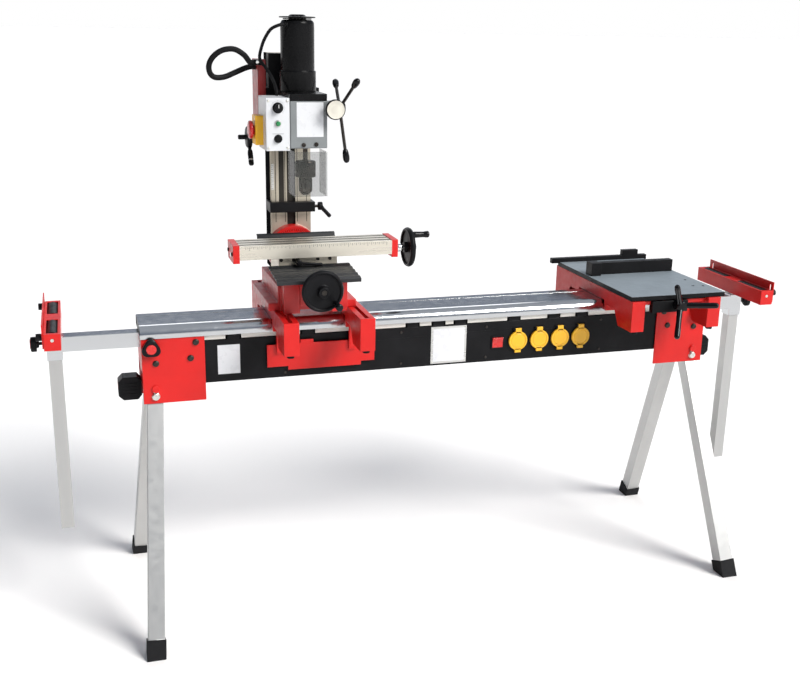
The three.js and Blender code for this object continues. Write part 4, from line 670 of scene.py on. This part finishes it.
def star_knob(name, at, direction, radius, shank):
    """A knob with three lobes and a red cap, on its shank."""
    knob = Shape()
    base = shank + 6
    top = base + STAR_THICK
    neck = [(0, 0.3), (4, 0.3), (4, shank + 0.5), (9, shank + 0.5), (12, base + 0.4), (0, base + 0.4)]
    cap = [(12.4, top - 0.2), (12.4, top + 0.5), (11.6, top + 1.4), (0, top + 1.6)]
    knob.lathe(neck, at, direction, 0, 32, 0.5)
    knob.lobes(at, direction, radius, STAR_LOBES, base, STAR_THICK)
    knob.lathe(cap, at, direction, 1, 48, 0.3)
    instead(name, f"{name}_star", knob, ["black_plastic", "button"])


def make_star_knobs():
    for side, name in SIDES:
        star_knob(f"extension_knob_{name}", (side * 764, -19, 724), FRONT, 24, 56.3)
    star_knob("post_knob_left", (-1006, 0, 731), LEFT, 20, 18.8)
    star_knob("post_knob_right", (940, 0, 731), RIGHT, 20, 18.8)


# Machine mounts and worktable
PAD_TOP = 726.5
# span of the black clamp under the worktable plate: partly the clamp's own black, partly painted shade under
# the plate
CLAMP_BODY_AND_SHADE = (520, 634)
PLATE_TOP = 821
CLAMP_ROOT = Vector((598, -230, 795))
CLAMP_ANGLES = (125.5, 5.5, -114.5)
CLAMP_LEAN = math.radians(32.5)
CLAMP_HUB = ((0, -30), (6, -30), (6, 0.3), (15, 0.3), (16, 6), (15, 24), (12, 30), (0, 31))
CLAMP_ARM = ((0, 0), (9, 0), (8, 16), (7.2, 40), (7.4, 62), (8, 82), (7.4, 93), (5.0, 97.4), (0, 98))


def mount_zone(c, n):
    if c.z < PAD_TOP and abs(c.y) > 205:
        return 1
    # Black under the worktable plate by the clamp: partly the real black clamp body, partly painted shade
    # under the plate.
    if CLAMP_BODY_AND_SHADE[0] < c.x < CLAMP_BODY_AND_SHADE[1] and c.y < -213 and c.z < 806:
        return 2
    return 0


def plate_zone(c, n):
    rear_bar = c.z > PLATE_TOP or (c.y > 211.5 and n.z > 0.5)
    return 0 if n.z > 0.5 and not rear_bar else 1


def make_mounts():
    for name in ("mill_mount", "worktable_mount"):
        dressed(name, ["red", "rubber", "black_paint"], 0.9, mount_zone)
    dressed("worktable_plate", ["plate", "black_paint"], 0.8, plate_zone)
    dressed("worktable_fence", ["black_paint"], 0.8)


def make_clamp_handle():
    handle = Shape()
    handle.lathe(CLAMP_HUB, CLAMP_ROOT, FRONT, 0, 48, 1.5)
    start = CLAMP_ROOT + FRONT * 15
    for degrees in CLAMP_ANGLES:
        angle = math.radians(degrees)
        reach = Vector((math.cos(angle) * math.cos(CLAMP_LEAN), -math.sin(CLAMP_LEAN),
                math.sin(angle) * math.cos(CLAMP_LEAN)))
        handle.lathe(CLAMP_ARM, start, reach, 0, 32, 3)
    instead("star_handle", "star_handle_arms", handle, ["black_gloss"])


# Mill: base, covers, saddle and table
COVER_SPANS = {"front_way_cover": (80, -193, -62), "rear_way_cover": (130, 97, 52)}


def make_base():
    dressed("mill_base", ["cast_red", "steel"], 2.0, lambda c, n: int(n.z > 0.9 and 91 < c.z < 93), 3, MILL,
            angle=50)
    for name, (level, start, end) in COVER_SPANS.items():
        start, end = (MILL + Vector((0, y, level)) * MM for y in (start, end))
        dressed(name, ["pleat"], 0.4, origin=MILL, blend=("mill", "saddle", start, end), angle=8, sharp=9)


SADDLE_FRONT = -60


def make_saddle():
    dressed("saddle", ["cream_steel", "cast_red"], 1.0, lambda c, n: int(c.z < 66.5 and n.z < -0.5),
            origin=MILL)
    screws = Shape()
    for x in (-69, -37, 25, 56):
        screws.screw((x, SADDLE_FRONT, 116.5), FRONT, 4.4, 2.2, 3.0, 1.9, 1.2)
    piece("gib_screws", screws, "saddle", ["bolt"], MILL)


def make_saddle_lever():
    lever = Shape()
    root = Vector((-28, SADDLE_FRONT, 114))
    lever.lathe([(0, 0.3), (7, 0.3), (7.6, 3), (7.4, 30), (6.4, 35), (0, 35.4)], root, FRONT, 0, 40, 1.2)
    droop = math.radians(6)
    lever.lathe([(0, 2), (3.8, 2), (3.6, 30), (4.2, 50), (4.4, 56), (3.0, 58), (0, 58)], root + FRONT * 31,
            (math.cos(droop), 0, -math.sin(droop)), 0, 28, 1.5)
    instead("saddle_lever", "saddle_lever_grip", lever, ["black_plastic"], MILL)


TABLE_FRONT = -79.9
RULER_TOP = 157
RULER_MARK = 0.35        # how far the marks stand out


def table_zone(c, n):
    if c.x < -174.6 or c.x > 213.6:
        return 1
    if 145.5 < c.z < 158.9 and -79.5 < c.y < 11.5:
        return 2
    return 0


def make_table():
    dressed("mill_table", ["table_steel", "red", "groove"], 0.6, table_zone, origin=MILL,
            cuts=(("x", -175), ("x", 214)))
    ruler = Shape()
    front, back = TABLE_FRONT - RULER_MARK, TABLE_FRONT
    for i in range(-16, 21):
        x = i * 10
        tall = 9 if i % 5 == 0 else 6
        ruler.box(x - 0.4, x + 0.4, front, back, RULER_TOP - tall, RULER_TOP)
        if i < 20:
            ruler.box(x + 4.75, x + 5.25, front, back, RULER_TOP - 4, RULER_TOP)
    piece("table_scale", ruler, "mill_table", ["dark_mark"], MILL)
    screws = Shape()
    for x, direction in ((-191, LEFT), (230, RIGHT)):
        for y in (-66, -3):
            screws.screw((x, y, 138), direction, 5, 2.2, 3, 2.2, 1.4, root=0.5)
    piece("table_cap_screws", screws, "mill_table", ["bolt"], MILL)


WHEEL_RADIUS = 52
WHEEL_DISH = 43          # radius where the rim meets the web
CRANK_REACH = 37.5


def crank_place(name, at, axis):
    """The crank's place on its wheel, from the node's farthest end."""
    points = [(v.co - MILL) / MM for v in frame["nodes"][name].data.vertices]
    far = max(p.dot(axis) for p in points)
    tip = [p for p in points if p.dot(axis) > far - 1]
    out = sum(tip, Vector()) / len(tip) - at
    return at + (out - axis * out.dot(axis)).normalized() * CRANK_REACH


def handwheel(name, at, axis, stand0, screw):
    """A dished wheel with a crank handle, on its screw."""
    wheel = Shape()
    rim, half = stand0 + 14, 2.5
    middle = stand0 + 7
    front = stand0 + 26
    collar = stand0 - 9
    dish = WHEEL_DISH
    wheel.lathe([(dish, middle - half), (dish, stand0 + 1.5), (dish + 2, stand0), (48.5, stand0),
            (WHEEL_RADIUS, middle), (48.5, rim), (dish + 2, rim), (dish, rim - 1.5),
            (dish, middle + half), (16, middle + half), (13.4, middle + half + 4), (13.4, front - 1),
            (12.4, front), (7, front), (7, front - 2), (0, front - 2)], at, axis, 0, 96, 2.0)
    wheel.lathe([(0, stand0 - 5), (14, stand0 - 5), (14, middle - half), (dish, middle - half)], at, axis,
            0, 96, 0.6)
    wheel.lathe([(0, front - 2.2), (6.4, front - 2.2), (6.4, front), (5.4, front), (3, front - 0.1),
            (0, front - 0.1)], at, axis, 3, 40, 0.4)
    wheel.lathe([(0, 0.3), (11, 0.3), (11, collar - 0.6), (10.4, collar), (0, collar)], at, axis, 1, 64, 0.4)
    wheel.bar(6, collar - 2, stand0 - 4, at, axis, 1)
    wheel.bar(6, -screw, 0.6, at, axis, 1)
    spot = crank_place(name, at, axis)
    wheel.bar(4, middle, middle + 14.4, spot, axis, 1)
    wheel.lathe([(0, middle + 14.8), (6, middle + 14.8), (7.6, middle + 18), (8.6, middle + 26),
            (7.8, middle + 42), (7.6, middle + 50), (8.8, middle + 58), (8.8, middle + 63),
            (6.2, middle + 65.6), (0, middle + 66)], spot, axis, 2, 48, 1.6)
    instead(name, f"{name}_wheel", wheel, ["black_plastic", "chrome", "black_gloss", "bolt"], MILL)


def make_handwheels():
    handwheel("y_handwheel", Vector((0, -148, 72)), FRONT, 70, 214)
    handwheel("x_handwheel", Vector((230, -34, 131)), RIGHT, 34, 421)


# Column and collar
WAYS_FRONT = 150         # the column's front face
GROOVES = ((-42.5, -40.8, 175), (-33, -19, 230), (-17.2, -15.6, 175), (15.6, 17.2, 175), (40.8, 42.5, 175))
GROOVE_TOP = 600
SCALE_SPAN = (262, 330)
SCALE_MARKS = 14
SCALE_STEP = 5
TILT_MARK_OUTER = 60
TILT_MIDDLE = (0, 120.05, 101)


def column_zone(c, n):
    if c.y < 150.2 and c.z < 175:
        return 1 if c.y > 119 else 2
    # Black for the rear faces, the right face's rear and the whole left face: partly real black paint, partly
    # painted shade on the front of the left face, which lies in shadow.
    if n.x < -0.9 or n.y > 0.9 and c.y > 200 or n.x > 0.9 and c.y > 168:
        return 3
    if abs(c.x) < 11.5 and c.y > 150.1 and c.z > 60:
        return 4
    return 0


def make_column():
    dressed("column", ["iron", "cast_red", "steel", "matt_black_and_shade", "groove"], 0.7, column_zone, origin=MILL)
    ways = Shape()
    for x0, x1, bottom in GROOVES:
        ways.box(x0, x1, WAYS_FRONT - 0.2, WAYS_FRONT + 0.6, bottom, GROOVE_TOP)
    piece("column_grooves", ways, "column", ["groove"], MILL)


def make_height_scale():
    scale = Shape()
    scale.box(-53.4, -45.6, WAYS_FRONT - 0.14, WAYS_FRONT - 0.02, *SCALE_SPAN)
    for i in range(SCALE_MARKS):
        z = SCALE_SPAN[0] + 3 + i * SCALE_STEP
        right = -47.5 if i % 2 == 0 else -50
        scale.box(-53.0, right, WAYS_FRONT - 0.19, WAYS_FRONT - 0.1, z - 0.35, z + 0.35, 1)
    piece("height_scale", scale, "column", ["scale", "dark_mark"], MILL)


def make_tilt_marks():
    tilt = Shape()
    for i in range(-9, 10):
        inner = TILT_MARK_OUTER - (6 if i % 3 == 0 else 4)
        tilt.tick(TILT_MIDDLE, math.radians(90 + i * 5), inner, TILT_MARK_OUTER, 0.4)
    bmesh.ops.solidify(tilt.mesh, geom=tilt.mesh.faces[:], thickness=0.2)
    piece("tilt_marks", tilt, "column", ["white_mark"], MILL)


def make_collar():
    dressed("depth_collar", ["black_paint"], 1.0, origin=MILL)
    lever = Shape()
    root = Vector((60.3, 139, 217))
    stud = root + RIGHT * 16
    lever.rod(4, root + RIGHT * 0.3, stud, 1)
    hub = [(0, 10.5), (10.4, 10.5), (11, 12), (11, 20), (10.2, 21.5), (0, 21.5)]
    arm = [(0, 0), (6.6, 0), (5.2, 12), (5.2, 30), (5.5, 38), (4.2, 40.6), (0, 41)]
    lever.lathe(hub, root, RIGHT, 0, 48, 0.6)
    lever.lathe(arm, stud, (28, 0, -30), 0, 32, 1.5)
    instead("collar_lever", "collar_lever_arm", lever, ["black_plastic", "bolt"], MILL)


# Head, motor and controls
HEAD_FRONT = -80


def make_head():
    dressed("head_slide", ["black_paint"], 1.2, origin=MILL)
    dressed("head_casting", ["grey"], 2.6, segments=3, origin=MILL, angle=50)
    trim = Shape()
    trim.box(-30, 36, HEAD_FRONT - 0.6, HEAD_FRONT + 0.2, 421.7, 503.7, 0, 2.0)
    for x, z in ((-13, 402.7), (18, 403.7)):
        trim.screw((x, HEAD_FRONT, z), FRONT, 5.2, 2.4, 3.4, 2.4, 1.6, 1, soft=0.4)
    piece("head_trim", trim, "head", ["label", "bolt"], MILL)


MOTOR_MIDDLE = 50        # from the column's axis of tilt to the front
MOTOR_SEAT = 507.3
MOTOR_PLATE = 16
MOTOR_BASE = MOTOR_SEAT + MOTOR_PLATE
MOTOR_CASE = ((0, -0.5), (45.5, -0.5), (45.5, 47.5), (44.5, 49), (43.4, 49), (42, 49.6), (42, 150),
        (41.4, 163), (38, 169), (33, 170.4), (22, 170.6), (22, 175))
MOTOR_CAP = ((20, 174.8), (44, 174.8), (45, 175.6), (45, 177.0), (43.6, 178.2), (22, 178.6), (20, 181),
        (17, 183.0), (0, 183.2))
GLAND = ((0, 28), (8, 28), (8, 42), (7.0, 43), (7.0, 47.5), (5.0, 49), (0, 49))
GLAND_LEVEL = 681.3
GLAND_TURN = math.radians(216)


def make_motor():
    motor = Shape()
    foot = (0, MOTOR_MIDDLE, MOTOR_BASE)
    motor.prism([(-46, -80.3), (46, -80.3), (46, 100), (-46, 100)], MOTOR_SEAT, MOTOR_BASE, 0, 6, 5)
    motor.lathe(MOTOR_CASE, foot, UP, 0, 96, 1.4)
    motor.lathe(MOTOR_CAP, foot, UP, 0, 96, 0.7)
    vents = Vector((0, MOTOR_MIDDLE, MOTOR_BASE + 172.6))
    for out in around(24):
        motor.bar(1.4, -2.4, 2.4, vents + out * 33, out, 1, 8)
    out = (math.cos(GLAND_TURN), math.sin(GLAND_TURN), 0)
    motor.lathe(GLAND, (0, MOTOR_MIDDLE, GLAND_LEVEL), out, 0, 12, 0.4)
    head = [(0, -0.5), (4.4, -0.5), (4.4, 0.2), (3.4, 0.3), (0, 0.3)]
    for y in (-72, 92):
        for x in (-38, 38):
            motor.lathe(head, (x, y, MOTOR_BASE - 0.3), UP, 1, 24, 0.2)
    instead("motor", "motor_housing", motor, ["black_satin", "bolt"], MILL, bevel=0.5)


PANEL_FRONT = -78
PANEL_X = -75
LAMP_Z = 454
KNOB_Z = 418
DIAL_Z = 491
BOX_LEFT = -104.05


def control_zone(c, n):
    # The switch housing left of the box takes the lighter yellow: painted light.
    if c.x < BOX_LEFT:
        return 1
    if c.y < PANEL_FRONT - 0.05:
        if (c.x - PANEL_X) ** 2 + (c.z - LAMP_Z) ** 2 < 7 ** 2:
            return 2
        if (c.x - PANEL_X) ** 2 + (c.z - KNOB_Z) ** 2 < 9 ** 2:
            return 3
    return 0


def make_control_trim():
    dressed("control_box", ["white", "housing", "lamp", "black_plastic"], 1.4, control_zone, 3, MILL)
    trim = Shape()
    lamp, knob = (PANEL_X, PANEL_FRONT, LAMP_Z), (PANEL_X, PANEL_FRONT, KNOB_Z)
    trim.lathe([(0, 4.4), (5.9, 4.4), (5.9, 5.3), (4.6, 6.8), (0, 7.4)], lamp, FRONT, 0, 40, 0.4)
    trim.lathe([(6.2, -0.2), (8.2, -0.2), (8.2, 1.4), (7.6, 2.0), (6.2, 2.2)], lamp, FRONT, 1, 48, 0.2)
    trim.lathe([(0, 4.6), (8, 4.6), (8, 6.4), (6.8, 7.6), (0, 7.8)], knob, FRONT, 2, 40, 0.4)
    trim.lathe([(8.2, -0.2), (10, -0.2), (10, 1.0), (9.2, 1.6), (8.2, 1.6)], knob, FRONT, 2, 48, 0.2)
    trim.box(-89, -61, PANEL_FRONT - 0.25, PANEL_FRONT + 0.1, 429.2, 430.4, 3)
    for i in range(31):
        outer = 15 + (3.2 if i % 5 == 0 else 1.8)
        trim.tick((PANEL_X, PANEL_FRONT - 0.2, DIAL_Z), math.radians(-45 + 270 * i / 30), 15, outer, 0.35, 3)
    head = [(0, -0.5), (3.2, -0.5), (3.2, 0.9), (2.2, 1.5), (0, 1.5)]
    for z in (507, 396):
        for x in (-98, -52):
            trim.lathe(head, (x, PANEL_FRONT, z), FRONT, 4, 28, 0.3)
    piece("control_trim", trim, "head", ["lamp", "silver", "black_plastic", "grey_mark", "zinc"], MILL)


def make_speed_knob():
    knob = Shape()
    at = Vector((PANEL_X, PANEL_FRONT, DIAL_Z))
    knob.lathe([(0, -7), (4, -7), (4, 0.4), (13, 0.4), (13, 2.0), (12.2, 2.6), (9.6, 4.4), (9, 12),
            (8.4, 13.6), (7.4, 14), (0, 14)], at, FRONT, 0, 72, 0.5)
    for out in around(24, "xz"):
        knob.lathe([(0, 4.5), (0.55, 4.5), (0.55, 12.6), (0, 12.9)], at + out * 9.0, FRONT, 0, 6)
    knob.box(PANEL_X - 0.7, PANEL_X + 0.7, PANEL_FRONT - 14.3, PANEL_FRONT - 13.8, DIAL_Z, DIAL_Z + 8, 1)
    instead("speed_knob", "speed_knob_dial", knob, ["black_plastic", "white_mark"], MILL)


def make_stop_button():
    button = Shape()
    button.lathe([(0, -8), (10, -8), (10, 4), (20.5, 4), (22, 5.4), (22, 10.6), (20.6, 12.6), (15, 14.2),
            (8, 14.9), (0, 15)], (-124, -20, 435), LEFT, 0, 96, 1.0)
    instead("stop_button", "stop_button_dome", button, ["button"], MILL)


# Levers and feeds of the head
LOCK_ROOT = Vector((-66, 55, 410))
LOCK_REACH = 53
LOCK_ANGLE = math.radians(240)


def make_lock_lever():
    lever = Shape()
    reach = LOCK_REACH
    lever.bar(8, -10, reach + 0.5, LOCK_ROOT, LEFT, 1, 40)
    lever.lathe([(0, reach), (25, reach), (27, reach + 1.6), (27, reach + 9), (24, reach + 12.6),
            (12, reach + 13), (7.2, reach + 13.2), (6, reach + 15), (6, reach + 30), (5, reach + 32.6),
            (0, reach + 33)], LOCK_ROOT, LEFT, 0, 72, 1.0)
    along = (0, math.cos(LOCK_ANGLE), math.sin(LOCK_ANGLE))
    start = LOCK_ROOT + LEFT * (reach + 6.5)
    lever.lathe([(0, 10), (4.5, 10), (4.3, 34), (6.0, 38.2), (6.5, 44), (6.5, 60)], start, along, 0, 32, 1.0)
    lever.lathe([(6.5, 60), (6.6, 60.4), (6.6, 63.6), (6.5, 64)], start, along, 1, 32)
    lever.lathe([(6.5, 64), (6.5, 72), (5.0, 75.4), (0, 76)], start, along, 0, 32, 1.0)
    instead("lock_lever", "lock_lever_arm", lever, ["black_plastic", "silver"], MILL)


CAPSTAN_PLACE = Vector((74, -48, 488))
CAPSTAN_ANGLES = (27, 147, 267)
CAPSTAN_REACH = 134
CAPSTAN_KNOB = 34


def make_capstan():
    capstan = Shape()
    at = CAPSTAN_PLACE
    hub = [(0, 0.3), (15, 0.3), (15, 19), (13.4, 22), (5.4, 22), (5.4, 21), (0, 21)]
    capstan.lathe(hub, at, RIGHT, 0, 64, 1.0)
    capstan.bar(5, 20.8, 22, at, RIGHT, 1, 32, 0.3)
    root = at + RIGHT * 10
    for degrees in CAPSTAN_ANGLES:
        turn = math.radians(degrees)
        end = at + Vector((27, CAPSTAN_REACH * math.cos(turn), CAPSTAN_REACH * math.sin(turn)))
        run = end - root
        total = run.length
        knob = total * (1 - CAPSTAN_KNOB / CAPSTAN_REACH)
        capstan.bar(4, 0, knob + 2, root, run, 1)
        capstan.lathe([(0, knob), (5.4, knob), (7.4, knob + 7), (8.5, knob + 18), (8.2, total - 9),
                (5.6, total - 2), (0, total)], root, run, 0, 48, 2.6)
    instead("capstan", "capstan_arms", capstan, ["black_gloss", "bolt"], MILL)


FEED_PLACE = Vector((60, -76, 488))


def make_feed_knob():
    dial = Shape()
    at = FEED_PLACE
    rim = [(0, 20), (21, 20), (23, 21), (24, 22.6), (24, 31), (23, 32.4), (21.6, 33.0)]
    face = [(21.6, 33.0), (20.8, 33.4), (19.8, 32.8), (12, 32.8), (7, 33.6), (0, 34)]
    dial.bar(6, -9, 20.5, at, FRONT, 1, 40)
    dial.lathe(rim, at, FRONT, 2, 96, 0.5)
    dial.lathe(face, at, FRONT, 0, 96, 0.5)
    for out in around(36, "xz"):
        dial.bar(0.6, 22.6, 31, at + out * 23.6, FRONT, 2, 6)
    instead("feed_knob", "feed_knob_dial", dial, ["cream", "chrome", "black_plastic"], MILL)


# Spindle, by heights above the mill's foot
SPINDLE_Y = -35
QUILL = ((9.3, 394), (24.4, 394), (25, 394.8), (25, 477.4), (24.4, 478), (9.3, 478), (9.3, 394))
CHUCK = ((0, 300), (5, 300), (5, 276.4), (5.6, 276), (8.4, 276), (9.4, 276.8), (16.4, 284), (17, 285.4),
        (17, 318.6), (18, 320), (24.7, 320.4), (25.5, 321.4), (25.5, 331), (24.9, 331.6), (24.9, 333),
        (25.5, 333.6), (25.5, 356), (24, 359.2), (20, 360), (9, 360), (6, 361), (6, 391), (9, 392.6),
        (9, 478), (0, 478))
KEY_HOLE_Z = 302
JAW_Z = 281


def make_spindle():
    axis = Vector((0, SPINDLE_Y, 0))
    quill = Shape()
    quill.lathe(QUILL, axis, UP, 0, 96)
    instead("quill", "quill_sleeve", quill, ["steel"], MILL)
    chuck = Shape()
    chuck.lathe(CHUCK, axis, UP, 0, 96)
    for out in around(48):
        chuck.bar(0.5, 335, 354, axis + out * 25.1, UP, 0, 6)
    for out in around(3, start=0.4):
        chuck.bar(3.4, 0, 0.3, axis + UP * KEY_HOLE_Z + out * 16.9, out, 1, 24)
        jaw = axis + UP * JAW_Z + out * 5.4
        chuck.rod(1.9, jaw - UP * 4.6, jaw + UP * 14, 0, 16)
    instead("drill_chuck", "chuck_body", chuck, ["dark_steel", "bolt"], MILL)
    dressed("chuck_guard", ["clear"], 0.6, origin=MILL)


# Rear of the head: enclosure, conduit and motor cable
CONDUIT_RADIUS = 7
CONDUIT_PATH = ((-101.6, 99, 590), (-111, 99, 590), (-126, 98, 608), (-150, 100, 621), (-178, 104, 618),
        (-200, 108, 603), (-211, 112, 583), (-209, 116, 563), (-196, 120, 552), (-172, 124, 553),
        (-146, 128, 563), (-122, 131, 573), (-105, 132, 578), (-91.4, 132, 578))
CABLE_RADIUS = 4
CABLE_PATH = ((-39.9, 21, 681.3), (-49, 14.4, 681.3), (-69.9, 24, 670.8), (-82.4, 46, 647),
        (-87.4, 70, 622.8), (-88.2, 88, 603.1), (-83.3, 90, 589.8), (-74.7, 76, 577),
        (-65.5, 52, 556.4), (-62.6, 22, 538.7), (-62.1, 4, 525.4), (-62.1, 4, 514.4))


def make_rear():
    # The rear enclosure takes the darker copy of the red: painted shade.
    dressed("rear_enclosure", ["red_painted_shade", "black_plastic"], 1.4,
            lambda c, n: int(c.y < 105.5 and c.z > 575), 3, MILL)
    conduit = Shape()
    conduit.sweep(CONDUIT_PATH, CONDUIT_RADIUS, 0, 24)
    instead("conduit_loop", "conduit_hose", conduit, ["rubber"], MILL)
    cable = Shape()
    cable.sweep(CABLE_PATH, CABLE_RADIUS, 0, 20)
    instead("motor_cable", "motor_flex", cable, ["rubber"], MILL)


def make_switch_bracket():
    plate = Shape()
    plate.box(-91, -68, 84, 105.9, 458, 504)
    plate.lathe([(0, 0), (4.4, 0), (4.4, 1.6), (3.2, 2.8), (0, 3)], (-82, 84, 486), FRONT, 1, 32, 0.4)
    plate.lathe([(0, 0), (4.6, 0), (4.6, 2.2), (3.6, 3.2), (0, 3.4)], (-93, 96.2, 591), FRONT, 1, 32, 0.4)
    piece("switch_bracket", plate, "head", ["bracket_grey", "chrome"], MILL, bevel=0.6)


for make in (make_rail, make_channel_plates, make_rocker, make_channel_screws, make_gap_light_strip, make_lids,
        make_brackets, make_legs, make_release_handles, make_supports, make_star_knobs, make_mounts,
        make_clamp_handle, make_base, make_saddle, make_saddle_lever, make_table, make_handwheels,
        make_column, make_height_scale, make_tilt_marks, make_collar, make_head, make_motor,
        make_control_trim, make_speed_knob, make_stop_button, make_lock_lever, make_capstan,
        make_feed_knob, make_spindle, make_rear, make_switch_bracket):
    make()


# Floor, lights and backdrop
FLOOR_HALF = 300000
FLOOR_THICK = 40
SUN_POWER = 4.0
SUN_SPREAD = math.radians(28)
SUN_COLOUR = (1.0, 0.985, 0.96)
SUN_RUN = Vector((-0.62, 0.72, -0.72))
RIM_PLACE = Vector((0.5, 3.4, 3.0))
RIM_TARGET = Vector((0, 0, 0.7))
RIM_SIZE = (3.0, 1.6)
RIM_POWER = 30
SKY = ((0.03, (1.0, 1.0, 1.0)), (0.20, (0.17, 0.20, 0.26)), (0.9, (0.44, 0.47, 0.52)))
SHADE_SIDE = (-0.95, -0.30, 0.0)
SHADE_FROM = (0.25, 0.85)
SHADE_LEFT = 0.10        # light that is left on the shaded side


def add_light(data, run, place=(0, 0, 0)):
    light = bpy.data.objects.new(data.name, data)
    light.location = place
    light.rotation_euler = run.to_track_quat("-Z", "Y").to_euler()
    bpy.context.scene.collection.objects.link(light)


def make_floor():
    floor = Shape()
    floor.box(-FLOOR_HALF, FLOOR_HALF, -FLOOR_HALF, FLOOR_HALF, -FLOOR_THICK, 0)
    bmesh.ops.transform(floor.mesh, matrix=Matrix.Scale(MM, 4), verts=floor.mesh.verts)
    made = finish_mesh("floor", floor.mesh, ["floor"])


def make_lights():
    rim = bpy.data.lights.new("rim", "AREA")
    rim.shape = "RECTANGLE"
    rim.size, rim.size_y = RIM_SIZE
    rim.energy = RIM_POWER
    add_light(rim, RIM_TARGET - RIM_PLACE, RIM_PLACE)
    sun = bpy.data.lights.new("key", "SUN")
    sun.energy = SUN_POWER
    sun.angle = SUN_SPREAD
    sun.color = SUN_COLOUR
    add_light(sun, SUN_RUN)


def make_backdrop():
    """White below, soft grey above, and a shaded left side."""
    world = bpy.data.worlds.new("world")
    bpy.context.scene.world = world
    world.use_nodes = True
    tree = world.node_tree
    tree.nodes.clear()
    link = tree.links.new
    out = node(tree, "ShaderNodeOutputWorld")
    back = node(tree, "ShaderNodeBackground", {"Strength": 1.0})
    place = node(tree, "ShaderNodeTexCoord")
    split = node(tree, "ShaderNodeSeparateXYZ")
    ramp = node(tree, "ShaderNodeValToRGB")
    set_stops(ramp, SKY)
    facing = node(tree, "ShaderNodeVectorMath", {1: SHADE_SIDE}, operation="DOT_PRODUCT")
    mixed = node(tree, "ShaderNodeMix", {MIX_FACTOR: 1.0}, data_type="RGBA", blend_type="MULTIPLY")
    link(place.outputs["Generated"], split.inputs["Vector"])
    link(split.outputs["Z"], ramp.inputs["Fac"])
    link(place.outputs["Generated"], facing.inputs[0])
    shade = remap(tree, facing.outputs["Value"], SHADE_FROM, (1.0, SHADE_LEFT),
            interpolation_type="SMOOTHSTEP")
    link(ramp.outputs["Color"], mixed.inputs[MIX_A])
    link(shade, mixed.inputs[MIX_B])
    link(mixed.outputs[MIX_RESULT], back.inputs["Color"])
    link(back.outputs["Background"], out.inputs["Surface"])
    bpy.context.scene.view_settings.view_transform = "Standard"


make_floor()
make_lights()
make_backdrop()
